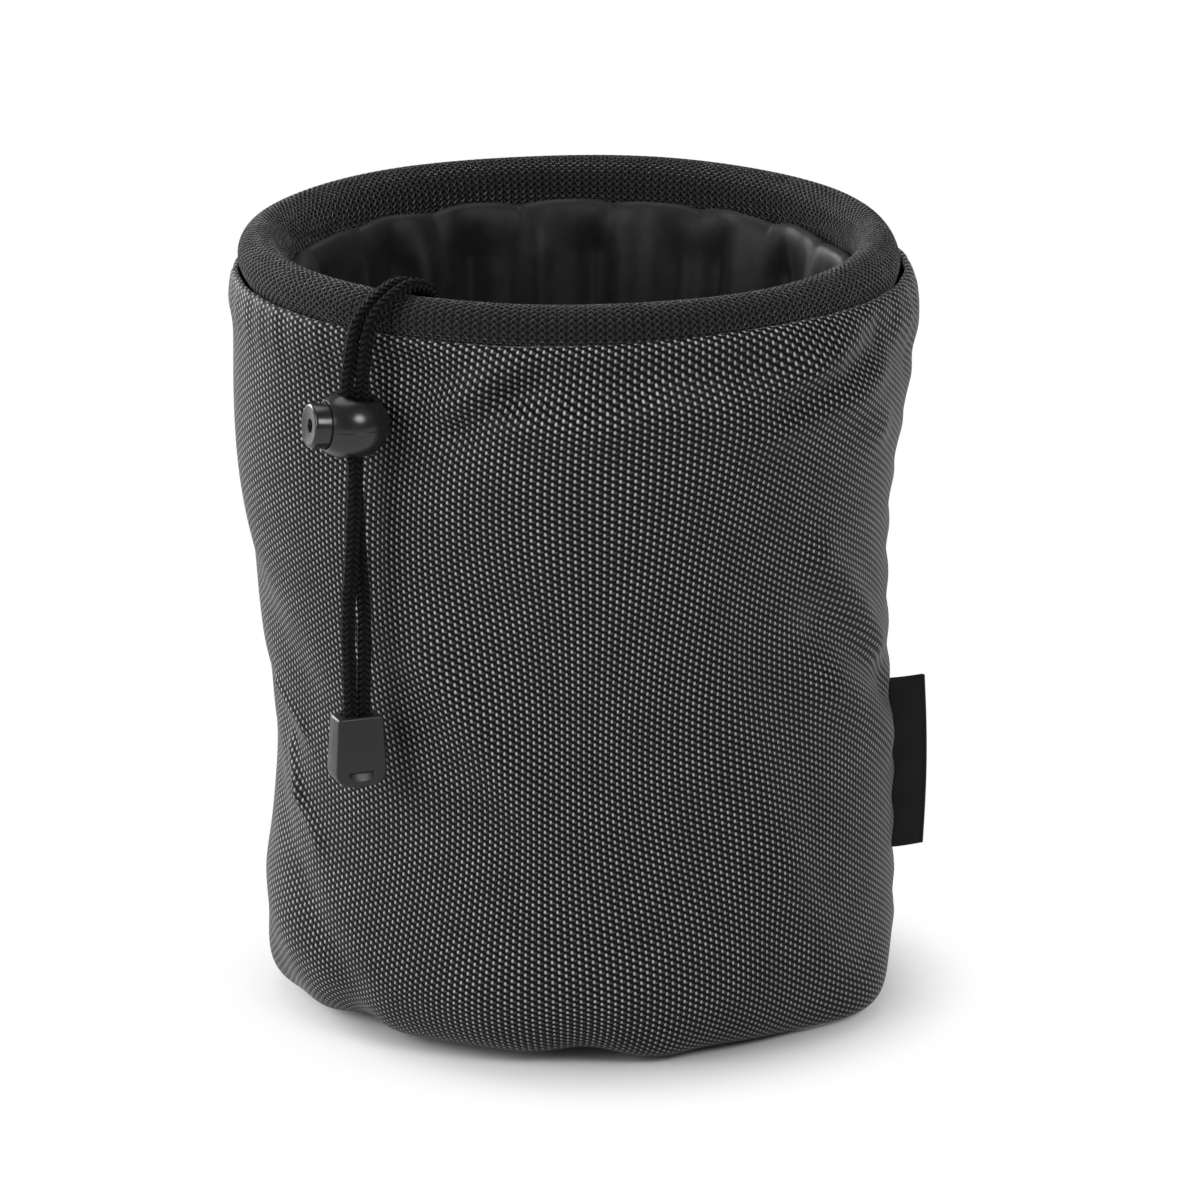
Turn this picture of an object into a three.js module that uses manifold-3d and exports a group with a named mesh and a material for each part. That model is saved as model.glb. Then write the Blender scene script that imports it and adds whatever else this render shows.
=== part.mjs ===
// A round, soft-sided peg bag with a padded rim, a drawcord, a ball cord lock and a moulded cord end.
// Millimetres, +Z up. The origin is the centre of the base on the floor, the front is -Y, and an
// azimuth is counted from the front towards +X.
import * as THREE from "three";
import { mergeVertices } from "three/addons/utils/BufferGeometryUtils.js";
import Module from "manifold-3d";

const wasm = await Module();
wasm.setup();

const CLEARANCE = 0.3;

// Wall and base
const WALL_FABRIC = 1.0;
const BASE_RADIUS = 62;
const BASE_BOARD = 1.2;
const FOOT_ROUNDING = 10;
const BELLY_RADIUS = 73.8;
const WAIST_HEIGHT = 60;
const WAIST_DIP = 2;
const WAIST_SPAN = 34;
const FLARE_START = 98;
const SHOULDER_RADIUS = 78.6;
const SHOULDER_DROP = 11.4;
const LOCK_DENT_DEPTH = 4;
const LOCK_DENT_TALL = 25;
const LOCK_DENT_WIDE = 18;

// Tapes and label
const TAPE = 0.8;
const BASE_TAPE_WIDTH = 7;
const SEAM_TAPE_WIDTH = 10;
const SEAM_AZIMUTH = 90;
const SEAM_TAPE_BOTTOM = 16;
const SEAM_TAPE_DROP = 23.4;
const LABEL_RIBBON = 0.5;
const LABEL_GAP = 0.7;
const LABEL_REACH = 7.5;
const LABEL_BOTTOM = 31;
const LABEL_TALL = 41;

// Padded rim
const RIM_INSET = 2.6;
const RIM_TOP = 180.2;
const ROLL_WIDTH = 10.4;
const ROLL_HEIGHT = 13.6;
const KNIT = 0.8;
const KNIT_SEAM_ANGLE = 250;
const KNIT_SEAM_OPENING = 12;

// Throat and drawcord
const THROAT_CLOTH = 0.8;
const THROAT_TOP_ANGLE = 214;
const THROAT_NECK_INSET = 11.3;
const THROAT_NECK_DROP = 16.4;
const HEM_INSET = 13.8;
const HEM_DROP = 47.4;
const HEM_CLOTH = 0.7;
const GATHERS = 14;
const GATHER_DEPTH = 2.2;
const CORD_DIAMETER = 3.0;
const STRAND_SPACING = 3.3;
const CORD_EXIT_AZIMUTH = -29;
const CORD_EXIT_HALF_WIDTH = 8.6;
const CORD_TURN = 6.4;
const CORD_INWARD = 2.6;
const CORD_AZIMUTH = -36.9;

// Cord lock and cord end. Both face the same way on the hanging strands.
const TAIL_TURN = 21;
const LOCK_DROP = 22;
const BALL_RADIUS = 7.25;
const BARREL_MOUTH = 6.2;
const BARREL_MOUTH_RADIUS = 6.6;
const BARREL_EDGE = 0.8;
const LOCK_STANDOFF = 1;
const BUTTON_RADIUS = 5.1;
const BUTTON_FACE = 11.2;
const BUTTON_TRAVEL = 1.5;
const BUTTON_DIMPLE = 0.7;
const STEM_RADIUS = 4.7;
const STEM_BAR = 1.0;
const STEM_CHAMFER = 2.0;
const PASSAGE_OFFSET = 0.3;
const SPRING_WIRE = 0.4;
const SPRING_RADIUS = 1.5;
const SPRING_TURNS = 1.75;
const SPRING_POCKET_END = 6.6;
const END_DROP = 89.5;
const END_TALL = 16.1;
const END_TOP_WIDTH = 10.6;
const END_BOTTOM_WIDTH = 12.6;
const END_DEPTH = 6.6;
const END_CORNER = 4.6;
const END_EDGE = 0.7;
const END_WALL = 1.5;
const END_CHANNEL = 7;
const THUMB_RADIUS = 5;
const THUMB_DEPTH = 0.7;
const THUMB_ABOVE_BOTTOM = 3.6;
const KNOT_MARGIN = 0.4;

// Facets
const ROUND_STEPS = 48;
const WALL_STEPS = 48;
const WALL_ROWS = 10;
const THROAT_STEPS = 70;
const CORD_SIDES = 8;

const TURN = 2 * Math.PI;
const rimRadius = SHOULDER_RADIUS - RIM_INSET;
const rollCentreRadius = rimRadius - ROLL_WIDTH / 2;
const rollCentreHeight = RIM_TOP - ROLL_HEIGHT / 2;
const shoulderHeight = rollCentreHeight - SHOULDER_DROP;
const neckRadius = rollCentreRadius - THROAT_NECK_INSET;
const neckHeight = rollCentreHeight - THROAT_NECK_DROP;
const hemRadius = rollCentreRadius - HEM_INSET;
const hemHeight = rollCentreHeight - HEM_DROP;
const lockHeight = rollCentreHeight - LOCK_DROP;
const endTop = rollCentreHeight - END_DROP;
const endBottom = endTop - END_TALL;
const cordRadius = CORD_DIAMETER / 2;
const radians = THREE.MathUtils.degToRad;
const smoothstep = THREE.MathUtils.smoothstep;
const lerp = THREE.MathUtils.lerp;

function bump(distance) {
  return Math.exp(-distance * distance);
}

function polar(radius, azimuth, height) {
  const angle = radians(azimuth);
  return new THREE.Vector3(radius * Math.sin(angle), -radius * Math.cos(angle), height);
}

function azimuthOf(x, y) {
  return THREE.MathUtils.radToDeg(Math.atan2(x, -y));
}

function azimuthBetween(a, b) {
  return THREE.MathUtils.euclideanModulo(a - b + 180, 360) - 180;
}

function material(name, colour, roughness, metalness = 0) {
  const look = new THREE.MeshStandardMaterial({ color: colour, roughness, metalness });
  look.name = name;
  return look;
}

const dottedWeave = material("dotted_weave", 0x3a3b3e, 0.85);
const blackWeb = material("black_webbing", 0x141416, 0.8);
const blackKnit = material("black_knit", 0x121214, 0.9);
const blackNylon = material("black_nylon", 0x17171a, 0.5);
const blackCord = material("black_cord", 0x161618, 0.85);
const blackRibbon = material("black_ribbon", 0x131315, 0.55);
const greyFoam = material("grey_foam", 0x55565a, 0.95);
const blackPlastic = material("black_plastic", 0x0e0e10, 0.35);
const greyPlastic = material("grey_plastic", 0x303236, 0.5);
const springSteel = material("spring_steel", 0xb4b6b8, 0.3, 1);

function closed(geometry) {
  geometry.deleteAttribute("normal");
  geometry.deleteAttribute("uv");
  return mergeVertices(geometry, 1e-4);
}

function solid(geometry) {
  const welded = closed(geometry);
  const vertProperties = new Float32Array(welded.attributes.position.array);
  const triVerts = new Uint32Array(welded.index.array);
  return new wasm.Manifold(new wasm.Mesh({ numProp: 3, vertProperties, triVerts }));
}

function geometryOf(body) {
  const mesh = body.getMesh();
  const geometry = new THREE.BufferGeometry();
  geometry.setAttribute("position", new THREE.BufferAttribute(mesh.vertProperties, 3));
  geometry.setIndex(new THREE.BufferAttribute(mesh.triVerts, 1));
  return geometry;
}

function box(from, to) {
  const shape = new THREE.BoxGeometry(to[0] - from[0], to[1] - from[1], to[2] - from[2]);
  shape.translate((from[0] + to[0]) / 2, (from[1] + to[1]) / 2, (from[2] + to[2]) / 2);
  return solid(shape);
}

// A closed section of [radius, height] points, counter-clockwise, turned about the Z axis. The shift
// moves each point outwards by a distance that depends on its azimuth and height.
function turned(section, steps, shift = () => 0) {
  const outline = [...section, section[0]].map(([r, h]) => new THREE.Vector2(r, h));
  const geometry = new THREE.LatheGeometry(outline, steps);
  geometry.rotateX(Math.PI / 2);
  const place = geometry.attributes.position;
  for (let i = 0; i < place.count; i++) {
    const azimuth = azimuthOf(place.getX(i), place.getY(i));
    const radius = Math.hypot(place.getX(i), place.getY(i));
    const height = place.getZ(i);
    const moved = polar(radius + shift(azimuth, height), azimuth, height);
    place.setXYZ(i, moved.x, moved.y, moved.z);
  }
  return closed(geometry);
}

function ovalArc(centre, halfWidth, halfHeight, fromDegrees, toDegrees, steps) {
  const points = [];
  for (let i = 0; i <= steps; i++) {
    const angle = radians(lerp(fromDegrees, toDegrees, i / steps));
    points.push([centre[0] + halfWidth * Math.cos(angle), centre[1] + halfHeight * Math.sin(angle)]);
  }
  return points;
}

function arc(centre, radius, fromDegrees, toDegrees, steps) {
  return ovalArc(centre, radius, radius, fromDegrees, toDegrees, steps);
}

// An open line of section points moved sideways by a distance, to the left of its direction
function beside(line, distance) {
  return line.map((point, i) => {
    const before = line[Math.max(i - 1, 0)];
    const after = line[Math.min(i + 1, line.length - 1)];
    const run = [after[0] - before[0], after[1] - before[1]];
    const length = Math.hypot(...run);
    return [point[0] - (distance * run[1]) / length, point[1] + (distance * run[0]) / length];
  });
}

function strip(line, thickness) {
  return [...line, ...beside(line, thickness).reverse()];
}

class PathBy extends THREE.Curve {
  constructor(place) {
    super();
    this.place = place;
  }
  getPoint(t) {
    return this.place(t);
  }
}

function circle(radius, sides) {
  const shape = new THREE.Shape();
  for (let i = 0; i <= sides; i++) {
    const angle = (TURN * i) / sides;
    const move = i === 0 ? "moveTo" : "lineTo";
    shape[move](radius * Math.cos(angle), radius * Math.sin(angle));
  }
  return shape;
}

function tube(path, radius, steps, sides = CORD_SIDES, bore = 0) {
  const shape = circle(radius, sides);
  if (bore > 0) {
    shape.holes.push(circle(bore, sides));
  }
  return closed(new THREE.ExtrudeGeometry(shape, { steps, extrudePath: path, bevelEnabled: false }));
}

// Wall: a foot that rounds up from the floor, a belly, a slight waist, a flare and a turned-in top edge
function wallSide(height) {
  const flare = smoothstep(height, FLARE_START, shoulderHeight);
  const waist = WAIST_DIP * bump((height - WAIST_HEIGHT) / WAIST_SPAN);
  return lerp(BELLY_RADIUS, SHOULDER_RADIUS, flare) - waist;
}

// A hollow in the wall leaves room for the cord lock
function wallShift(azimuth, height) {
  const across = azimuthBetween(azimuth, CORD_AZIMUTH) / LOCK_DENT_WIDE;
  const up = (height - lockHeight) / LOCK_DENT_TALL;
  const belowEdge = 1 - smoothstep(height, shoulderHeight, rollCentreHeight);
  return -belowEdge * LOCK_DENT_DEPTH * bump(across) * bump(up);
}

const wallFoot = CLEARANCE;
const wallTopRadius = rimRadius + CLEARANCE + WALL_FABRIC;

function wallLine() {
  const footCentre = [wallSide(wallFoot + FOOT_ROUNDING) - FOOT_ROUNDING, wallFoot + FOOT_ROUNDING];
  const foot = arc(footCentre, FOOT_ROUNDING, 270, 360, 4);
  const side = [];
  for (let i = 1; i <= WALL_ROWS; i++) {
    const height = lerp(footCentre[1], shoulderHeight, i / WALL_ROWS);
    side.push([wallSide(height), height]);
  }
  const edge = [
    [lerp(SHOULDER_RADIUS, wallTopRadius, 0.25), lerp(shoulderHeight, rollCentreHeight, 0.6)],
    [wallTopRadius, rollCentreHeight - CLEARANCE],
  ];
  return [[BASE_RADIUS + CLEARANCE, wallFoot], ...foot, ...side, ...edge];
}

const wallPanel = turned(strip(wallLine(), WALL_FABRIC), WALL_STEPS, wallShift);

const basePanel = new THREE.CylinderGeometry(BASE_RADIUS, BASE_RADIUS, BASE_BOARD, ROUND_STEPS);
basePanel.rotateX(Math.PI / 2);
basePanel.translate(0, 0, BASE_BOARD / 2);

// Base tape: a flat ring that covers the seam between base and wall from inside
const baseTapeHeight = Math.max(BASE_BOARD, wallFoot + WALL_FABRIC) + CLEARANCE;
const baseTapeInside = BASE_RADIUS - BASE_TAPE_WIDTH * 0.75;
const baseTape = turned(
  [
    [baseTapeInside, baseTapeHeight],
    [baseTapeInside + BASE_TAPE_WIDTH, baseTapeHeight],
    [baseTapeInside + BASE_TAPE_WIDTH, baseTapeHeight + TAPE],
    [baseTapeInside, baseTapeHeight + TAPE],
  ],
  ROUND_STEPS,
);

// Side seam tape: a strip of the wall's own shape, one clearance inside it
function seamTape() {
  const rows = 8;
  const outside = [];
  for (let i = 0; i <= rows; i++) {
    const height = lerp(SEAM_TAPE_BOTTOM, rollCentreHeight - SEAM_TAPE_DROP, i / rows);
    outside.push([wallSide(height) - WALL_FABRIC - CLEARANCE * 2, height]);
  }
  const ring = solid(turned(strip(outside, TAPE), WALL_STEPS, wallShift));
  const reach = SHOULDER_RADIUS * 2;
  const band = new THREE.BoxGeometry(SEAM_TAPE_WIDTH, reach, RIM_TOP * 2);
  band.translate(0, -reach / 2, 0);
  band.rotateZ(radians(SEAM_AZIMUTH));
  return geometryOf(ring.intersect(solid(band)));
}

// Label: one ribbon folded on itself, both ends at the side seam, its fold outwards
function foldedLabel() {
  const half = LABEL_GAP / 2 + LABEL_RIBBON;
  const start = BELLY_RADIUS / 2;
  const foldCentre = BELLY_RADIUS + LABEL_REACH - half;
  const outside = arc([foldCentre, 0], half, -90, 90, 6);
  const inside = arc([foldCentre, 0], LABEL_GAP / 2, 90, -90, 6);
  const outline = [
    [start, -half],
    ...outside,
    [start, half],
    [start, LABEL_GAP / 2],
    ...inside,
    [start, -LABEL_GAP / 2],
  ];
  const shape = new THREE.Shape(outline.map(([x, y]) => new THREE.Vector2(x, y)));
  const ribbon = new THREE.ExtrudeGeometry(shape, { depth: LABEL_TALL, bevelEnabled: false });
  ribbon.translate(0, 0, LABEL_BOTTOM);
  ribbon.rotateZ(radians(SEAM_AZIMUTH - 90));
  const keepOut = beside(wallLine(), -CLEARANCE);
  const lowest = keepOut[0];
  const highest = keepOut[keepOut.length - 1];
  const wallBody = turned([[1, lowest[1]], ...keepOut, [1, highest[1]]], WALL_STEPS, wallShift);
  const sewnLine = box([-start * 2, -start, 0], [start + 1, start, RIM_TOP]);
  return geometryOf(solid(ribbon).subtract(solid(wallBody)).subtract(sewnLine));
}

// Padded rim: an upright oval knit sleeve with its seam underneath, round a foam rope
const rollCentre = [rollCentreRadius, rollCentreHeight];
const seamFrom = KNIT_SEAM_ANGLE + KNIT_SEAM_OPENING / 2;
const seamTo = KNIT_SEAM_ANGLE - KNIT_SEAM_OPENING / 2 + 360;

function rollArc(outwards, fromDegrees, toDegrees, steps) {
  const halfWidth = ROLL_WIDTH / 2 + outwards;
  return ovalArc(rollCentre, halfWidth, ROLL_HEIGHT / 2 + outwards, fromDegrees, toDegrees, steps);
}

const coverSection = [...rollArc(0, seamFrom, seamTo, 11), ...rollArc(-KNIT, seamTo, seamFrom, 8)];
const rimCover = turned(coverSection, ROUND_STEPS);
const coreSides = 7;
const rimCore = turned(rollArc(-KNIT - CLEARANCE * 2, 0, 360, coreSides).slice(0, coreSides), ROUND_STEPS);

// Throat: a gathered cloth tube that hangs from the underside of the roll to the cord's sleeve
function gather(azimuth) {
  return GATHER_DEPTH * Math.cos(GATHERS * radians(azimuth - CORD_EXIT_AZIMUTH));
}

const hemBore = cordRadius + CLEARANCE;
const hemOutside = hemBore + HEM_CLOTH;
const throatTop = rollArc(CLEARANCE * 2, THROAT_TOP_ANGLE, THROAT_TOP_ANGLE, 1)[0];
const throatBottom = hemHeight + hemOutside + CLEARANCE;

function throatShift(azimuth, height) {
  return gather(azimuth) * (1 - smoothstep(height, neckHeight, throatTop[1] - THROAT_CLOTH));
}

function throatLine() {
  const corners = [
    [hemRadius, throatBottom],
    [lerp(hemRadius, neckRadius, 0.5), lerp(throatBottom, neckHeight, 0.5)],
    [neckRadius, neckHeight],
    [lerp(neckRadius, throatTop[0], 0.3), lerp(neckHeight, throatTop[1], 0.7)],
    throatTop,
  ];
  const curve = new THREE.SplineCurve(corners.map(([r, h]) => new THREE.Vector2(r, h)));
  return curve.getSpacedPoints(6).map((point) => [point.x, point.y]);
}

const throatSkirt = turned(strip(throatLine(), THROAT_CLOTH), THROAT_STEPS, throatShift);

// The sleeve and the cord in it share one ring-shaped path, open where the strands come out
const hemSweep = 360 - 2 * CORD_EXIT_HALF_WIDTH;

function hemPlace(azimuth) {
  return polar(hemRadius + gather(azimuth), azimuth, hemHeight);
}

const hemPath = new PathBy((t) => hemPlace(CORD_EXIT_AZIMUTH + CORD_EXIT_HALF_WIDTH + hemSweep * t));
const throatHem = tube(hemPath, hemOutside, THROAT_STEPS, CORD_SIDES, hemBore);
const drawcordLoop = tube(hemPath, cordRadius, THROAT_STEPS);

// Drawcord strands. The middle of the pair follows one route over the roll, as [radius, azimuth,
// height, direction of the pair in degrees from +X]. Each strand runs half a spacing to its side.
const tailRadius = wallSide(lockHeight) - LOCK_DENT_DEPTH + BALL_RADIUS + LOCK_STANDOFF;
const beyondRoll = cordRadius + CLEARANCE * 1.5;
const besideRoll = ROLL_WIDTH / 2 + beyondRoll;
const overRoll = ROLL_HEIGHT / 2 + beyondRoll;
const strandEnd = endTop - END_CHANNEL + CLEARANCE;

const pairRoute = [
  [hemRadius - CORD_INWARD, CORD_EXIT_AZIMUTH, hemHeight + 16, CORD_EXIT_AZIMUTH],
  [hemRadius - CORD_INWARD * 0.8, -29.4, hemHeight + 27, -29.4],
  [hemRadius + 1, -30.4, rollCentreHeight - 10, -30.4],
  [rollCentreRadius - besideRoll - 0.6, -31.6, rollCentreHeight, -31.6],
  [rollCentreRadius - besideRoll * 0.74, -33, rollCentreHeight + overRoll * 0.72, -33],
  [rollCentreRadius, -34.4, rollCentreHeight + overRoll, -34.4],
  [rollCentreRadius + besideRoll * 0.92, -35.6, rollCentreHeight + overRoll * 0.72, -30],
  [lerp(rollCentreRadius, tailRadius, 0.88), -36.5, rollCentreHeight + overRoll * 0.2, -20],
  [tailRadius, CORD_AZIMUTH, rollCentreHeight - 7, -6],
  [tailRadius, CORD_AZIMUTH, lockHeight + BALL_RADIUS, 14],
  [tailRadius, CORD_AZIMUTH, lockHeight, 46],
  [tailRadius, CORD_AZIMUTH, lockHeight - BALL_RADIUS, 58],
  [tailRadius, CORD_AZIMUTH, lockHeight - 20, 50],
  [tailRadius, CORD_AZIMUTH, lockHeight - 34, 34],
  [tailRadius, CORD_AZIMUTH, endTop + 16, TAIL_TURN],
  [tailRadius, CORD_AZIMUTH, endTop + 4, TAIL_TURN],
  [tailRadius, CORD_AZIMUTH, strandEnd, TAIL_TURN],
];
const tailStart = 8;

function strandPoints(side) {
  const exitAt = CORD_EXIT_AZIMUTH + side * CORD_EXIT_HALF_WIDTH;
  const mouth = hemPlace(exitAt);
  const along = polar(1, exitAt - side * 90, 0);
  const inward = polar(-1, exitAt, 0);
  const turn = [0.15, 0.55, 1].map((part) => {
    const angle = (part * Math.PI) / 2;
    const place = mouth.clone().addScaledVector(along, CORD_TURN * Math.sin(angle));
    place.addScaledVector(inward, CORD_INWARD * part);
    place.z += CORD_TURN * (1 - Math.cos(angle));
    return place;
  });
  const shared = pairRoute.map(([radius, azimuth, height, direction]) => {
    const place = polar(radius, azimuth, height);
    const angle = radians(direction);
    const offset = (side * STRAND_SPACING) / 2;
    return place.add(new THREE.Vector3(offset * Math.cos(angle), offset * Math.sin(angle), 0));
  });
  return { points: [...turn, ...shared], split: turn.length + tailStart };
}

function strand(side) {
  const { points, split } = strandPoints(side);
  const route = new THREE.CatmullRomCurve3(points, false, "centripetal");
  const splitAt = split / (points.length - 1);
  const gapAt = CLEARANCE / route.getLength();
  return {
    over: tube(new PathBy((t) => route.getPoint(t * (splitAt - gapAt))), cordRadius, 22),
    tail: tube(new PathBy((t) => route.getPoint(lerp(splitAt + gapAt, 1, t))), cordRadius, 18),
  };
}

const leftStrand = strand(-1);
const rightStrand = strand(1);

// Cord lock, in its own frame: X runs out of the button, Z along the strands, the ball at the origin
const passageRadius = STRAND_SPACING / 2 + cordRadius + CLEARANCE;
const stemEnd = PASSAGE_OFFSET - passageRadius - STEM_BAR;
const boreRadius = STEM_RADIUS + CLEARANCE;
const boreEnd = stemEnd - BUTTON_TRAVEL - CLEARANCE;
const headStart = BARREL_MOUTH - CLEARANCE * 2;
const recessEnd = headStart - BUTTON_TRAVEL - CLEARANCE;
const lockSteps = 24;

// A solid turned about the X axis from [x, radius] points that start and end on the axis
function turnedAboutX(outline, steps) {
  const shape = new THREE.LatheGeometry(outline.map(([x, r]) => new THREE.Vector2(r, x)), steps);
  shape.rotateZ(-Math.PI / 2);
  return solid(shape);
}

function passage(from, to) {
  const shape = new THREE.Shape();
  shape.absarc(to, 0, passageRadius, -Math.PI / 2, Math.PI / 2);
  shape.absarc(from, 0, passageRadius, Math.PI / 2, Math.PI * 1.5);
  const through = { depth: BALL_RADIUS * 4, bevelEnabled: false, curveSegments: 8 };
  const hole = new THREE.ExtrudeGeometry(shape, through);
  hole.translate(0, 0, -BALL_RADIUS * 2);
  return solid(hole);
}

// The barrel is a half ball that runs on into a short, slightly tapered mouth with a rounded edge
function lockBarrel() {
  const edgeCentre = [BARREL_MOUTH - BARREL_EDGE, BARREL_MOUTH_RADIUS - BARREL_EDGE];
  const outline = [
    ...arc([0, 0], BALL_RADIUS, 180, 90, 7),
    [BARREL_MOUTH * 0.45, lerp(BALL_RADIUS, BARREL_MOUTH_RADIUS, 0.3)],
    ...arc(edgeCentre, BARREL_EDGE, 75, 0, 3),
    [BARREL_MOUTH, 0],
  ];
  const ball = turnedAboutX(outline, lockSteps);
  const pocketRadius = SPRING_RADIUS + SPRING_WIRE / 2 + CLEARANCE;
  const bore = turnedAboutX(
    [
      [-SPRING_POCKET_END, 0],
      [-SPRING_POCKET_END, pocketRadius],
      [boreEnd, pocketRadius],
      [boreEnd, boreRadius - STEM_CHAMFER],
      [boreEnd + STEM_CHAMFER, boreRadius],
      [recessEnd, boreRadius],
      [recessEnd, BUTTON_RADIUS + CLEARANCE],
      [BUTTON_FACE, BUTTON_RADIUS + CLEARANCE],
      [BUTTON_FACE, 0],
    ],
    lockSteps,
  );
  return geometryOf(ball.subtract(bore).subtract(passage(PASSAGE_OFFSET, PASSAGE_OFFSET)));
}

function lockPlunger() {
  const edge = 1.0;
  const dimpleRadius = BUTTON_RADIUS - edge * 1.8;
  const body = turnedAboutX(
    [
      [stemEnd, 0],
      [stemEnd, STEM_RADIUS - STEM_CHAMFER],
      [stemEnd + STEM_CHAMFER, STEM_RADIUS],
      [headStart, STEM_RADIUS],
      [headStart, BUTTON_RADIUS],
      ...arc([BUTTON_FACE - edge, BUTTON_RADIUS - edge], edge, 90, 0, 3),
      [BUTTON_FACE, dimpleRadius],
      [BUTTON_FACE - BUTTON_DIMPLE * 0.8, dimpleRadius * 0.5],
      [BUTTON_FACE - BUTTON_DIMPLE, 0],
    ],
    lockSteps,
  );
  return geometryOf(body.subtract(passage(PASSAGE_OFFSET, PASSAGE_OFFSET + BUTTON_TRAVEL)));
}

function lockSpring() {
  const from = -SPRING_POCKET_END + CLEARANCE + SPRING_WIRE / 2;
  const to = stemEnd - CLEARANCE - SPRING_WIRE / 2;
  const helix = new PathBy((t) => {
    const angle = TURN * SPRING_TURNS * t;
    const across = SPRING_RADIUS * Math.cos(angle);
    return new THREE.Vector3(lerp(from, to, t), across, SPRING_RADIUS * Math.sin(angle));
  });
  const samples = helix.getSpacedPoints(Math.round(60 * SPRING_TURNS));
  const halfCurl = samples.length / SPRING_TURNS / 2;
  let leastGap = Infinity;
  samples.forEach((a, i) => {
    samples.slice(i + Math.round(halfCurl)).forEach((b) => {
      leastGap = Math.min(leastGap, a.distanceTo(b) - SPRING_WIRE);
    });
  });
  console.log(`spring: least gap between curls ${leastGap.toFixed(2)} mm`);
  return tube(helix, SPRING_WIRE / 2, Math.round(8 * SPRING_TURNS), 5);
}

// Cord end, in its own frame: X across, Y to the back, Z up
function cordEndBody() {
  const halfTop = END_TOP_WIDTH / 2 - END_EDGE;
  const halfBottom = END_BOTTOM_WIDTH / 2 - END_EDGE;
  const low = endBottom + END_EDGE;
  const high = endTop - END_EDGE;
  const cornerX = halfBottom - END_CORNER;
  const outline = [
    [-halfTop, high],
    ...arc([-cornerX, low + END_CORNER], END_CORNER, 180, 270, 4),
    ...arc([cornerX, low + END_CORNER], END_CORNER, 270, 360, 4),
    [halfTop, high],
  ];
  const shape = new THREE.Shape(outline.map(([x, z]) => new THREE.Vector2(x, z)));
  const block = new THREE.ExtrudeGeometry(shape, {
    depth: END_DEPTH - 2 * END_EDGE,
    bevelEnabled: true,
    bevelSize: END_EDGE,
    bevelThickness: END_EDGE,
    bevelSegments: 2,
  });
  block.translate(0, 0, END_EDGE - END_DEPTH / 2);
  block.rotateX(Math.PI / 2);
  return solid(block);
}

const channelX = STRAND_SPACING / 2 + cordRadius + CLEARANCE;
const channelY = cordRadius + CLEARANCE;
const knotTop = endTop - END_CHANNEL;
const knotBottom = endBottom + END_WALL * 2;

function cordEndShell(facing) {
  const channel = box([-channelX, -channelY, knotTop - 1], [channelX, channelY, endTop + 1]);
  const chamberY = END_DEPTH / 2 - END_WALL + CLEARANCE;
  const chamber = box([-channelX, -chamberY, knotBottom], [channelX, chamberY, knotTop]);
  const thumb = new THREE.SphereGeometry(THUMB_RADIUS, 20, 12);
  thumb.translate(0, -END_DEPTH / 2 - THUMB_RADIUS + THUMB_DEPTH, endBottom + THUMB_ABOVE_BOTTOM);
  const far = END_BOTTOM_WIDTH;
  const joint = (CLEARANCE / 2) * facing;
  const half = box([-far, Math.min(joint, far * facing), 0], [far, Math.max(joint, far * facing), RIM_TOP]);
  const hollow = cordEndBody().subtract(channel).subtract(chamber).subtract(solid(thumb));
  return geometryOf(hollow.intersect(half));
}

function cordEndKnot() {
  const knot = new THREE.SphereGeometry(1, 12, 8);
  knot.rotateX(Math.PI / 2);
  const tall = knotTop - knotBottom;
  knot.scale(channelX - KNOT_MARGIN, END_DEPTH / 2 - END_WALL, tall / 2 - KNOT_MARGIN);
  knot.translate(0, 0, knotBottom + tall / 2);
  return closed(knot);
}

const bag = new THREE.Group();
bag.name = "peg_bag";

function add(name, geometry, look) {
  const mesh = new THREE.Mesh(closed(geometry), look);
  mesh.name = name;
  bag.add(mesh);
}

const tailPlace = polar(tailRadius, CORD_AZIMUTH, 0);

function onTail(geometry, turnDegrees, height) {
  geometry.rotateZ(radians(turnDegrees));
  geometry.translate(tailPlace.x, tailPlace.y, height);
  return geometry;
}

function onLock(geometry) {
  const turnDegrees = TAIL_TURN + 180;
  geometry.translate(-PASSAGE_OFFSET, 0, 0);
  return onTail(geometry, turnDegrees, lockHeight);
}

add("wall_panel", wallPanel, dottedWeave);
add("base_panel", basePanel, dottedWeave);
add("base_binding", baseTape, blackWeb);
add("side_seam_binding", seamTape(), blackWeb);
add("side_label", foldedLabel(), blackRibbon);
add("rim_cover", rimCover, blackKnit);
add("rim_core", rimCore, greyFoam);
add("throat_skirt", throatSkirt, blackNylon);
add("throat_hem", throatHem, blackNylon);
add("drawcord_loop", drawcordLoop, blackCord);
add("cord_left_over_rim", leftStrand.over, blackCord);
add("cord_right_over_rim", rightStrand.over, blackCord);
add("cord_left_tail", leftStrand.tail, blackCord);
add("cord_right_tail", rightStrand.tail, blackCord);
add("lock_barrel", onLock(lockBarrel()), blackPlastic);
add("lock_plunger", onLock(lockPlunger()), blackPlastic);
add("lock_spring", onLock(lockSpring()), springSteel);
add("cord_end_front", onTail(cordEndShell(-1), TAIL_TURN, 0), greyPlastic);
add("cord_end_back", onTail(cordEndShell(1), TAIL_TURN, 0), greyPlastic);
add("cord_end_knot", onTail(cordEndKnot(), TAIL_TURN, 0), blackCord);

export default bag;
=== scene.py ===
import bmesh
import bpy
import numpy as np
from mathutils import Matrix, Vector


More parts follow.
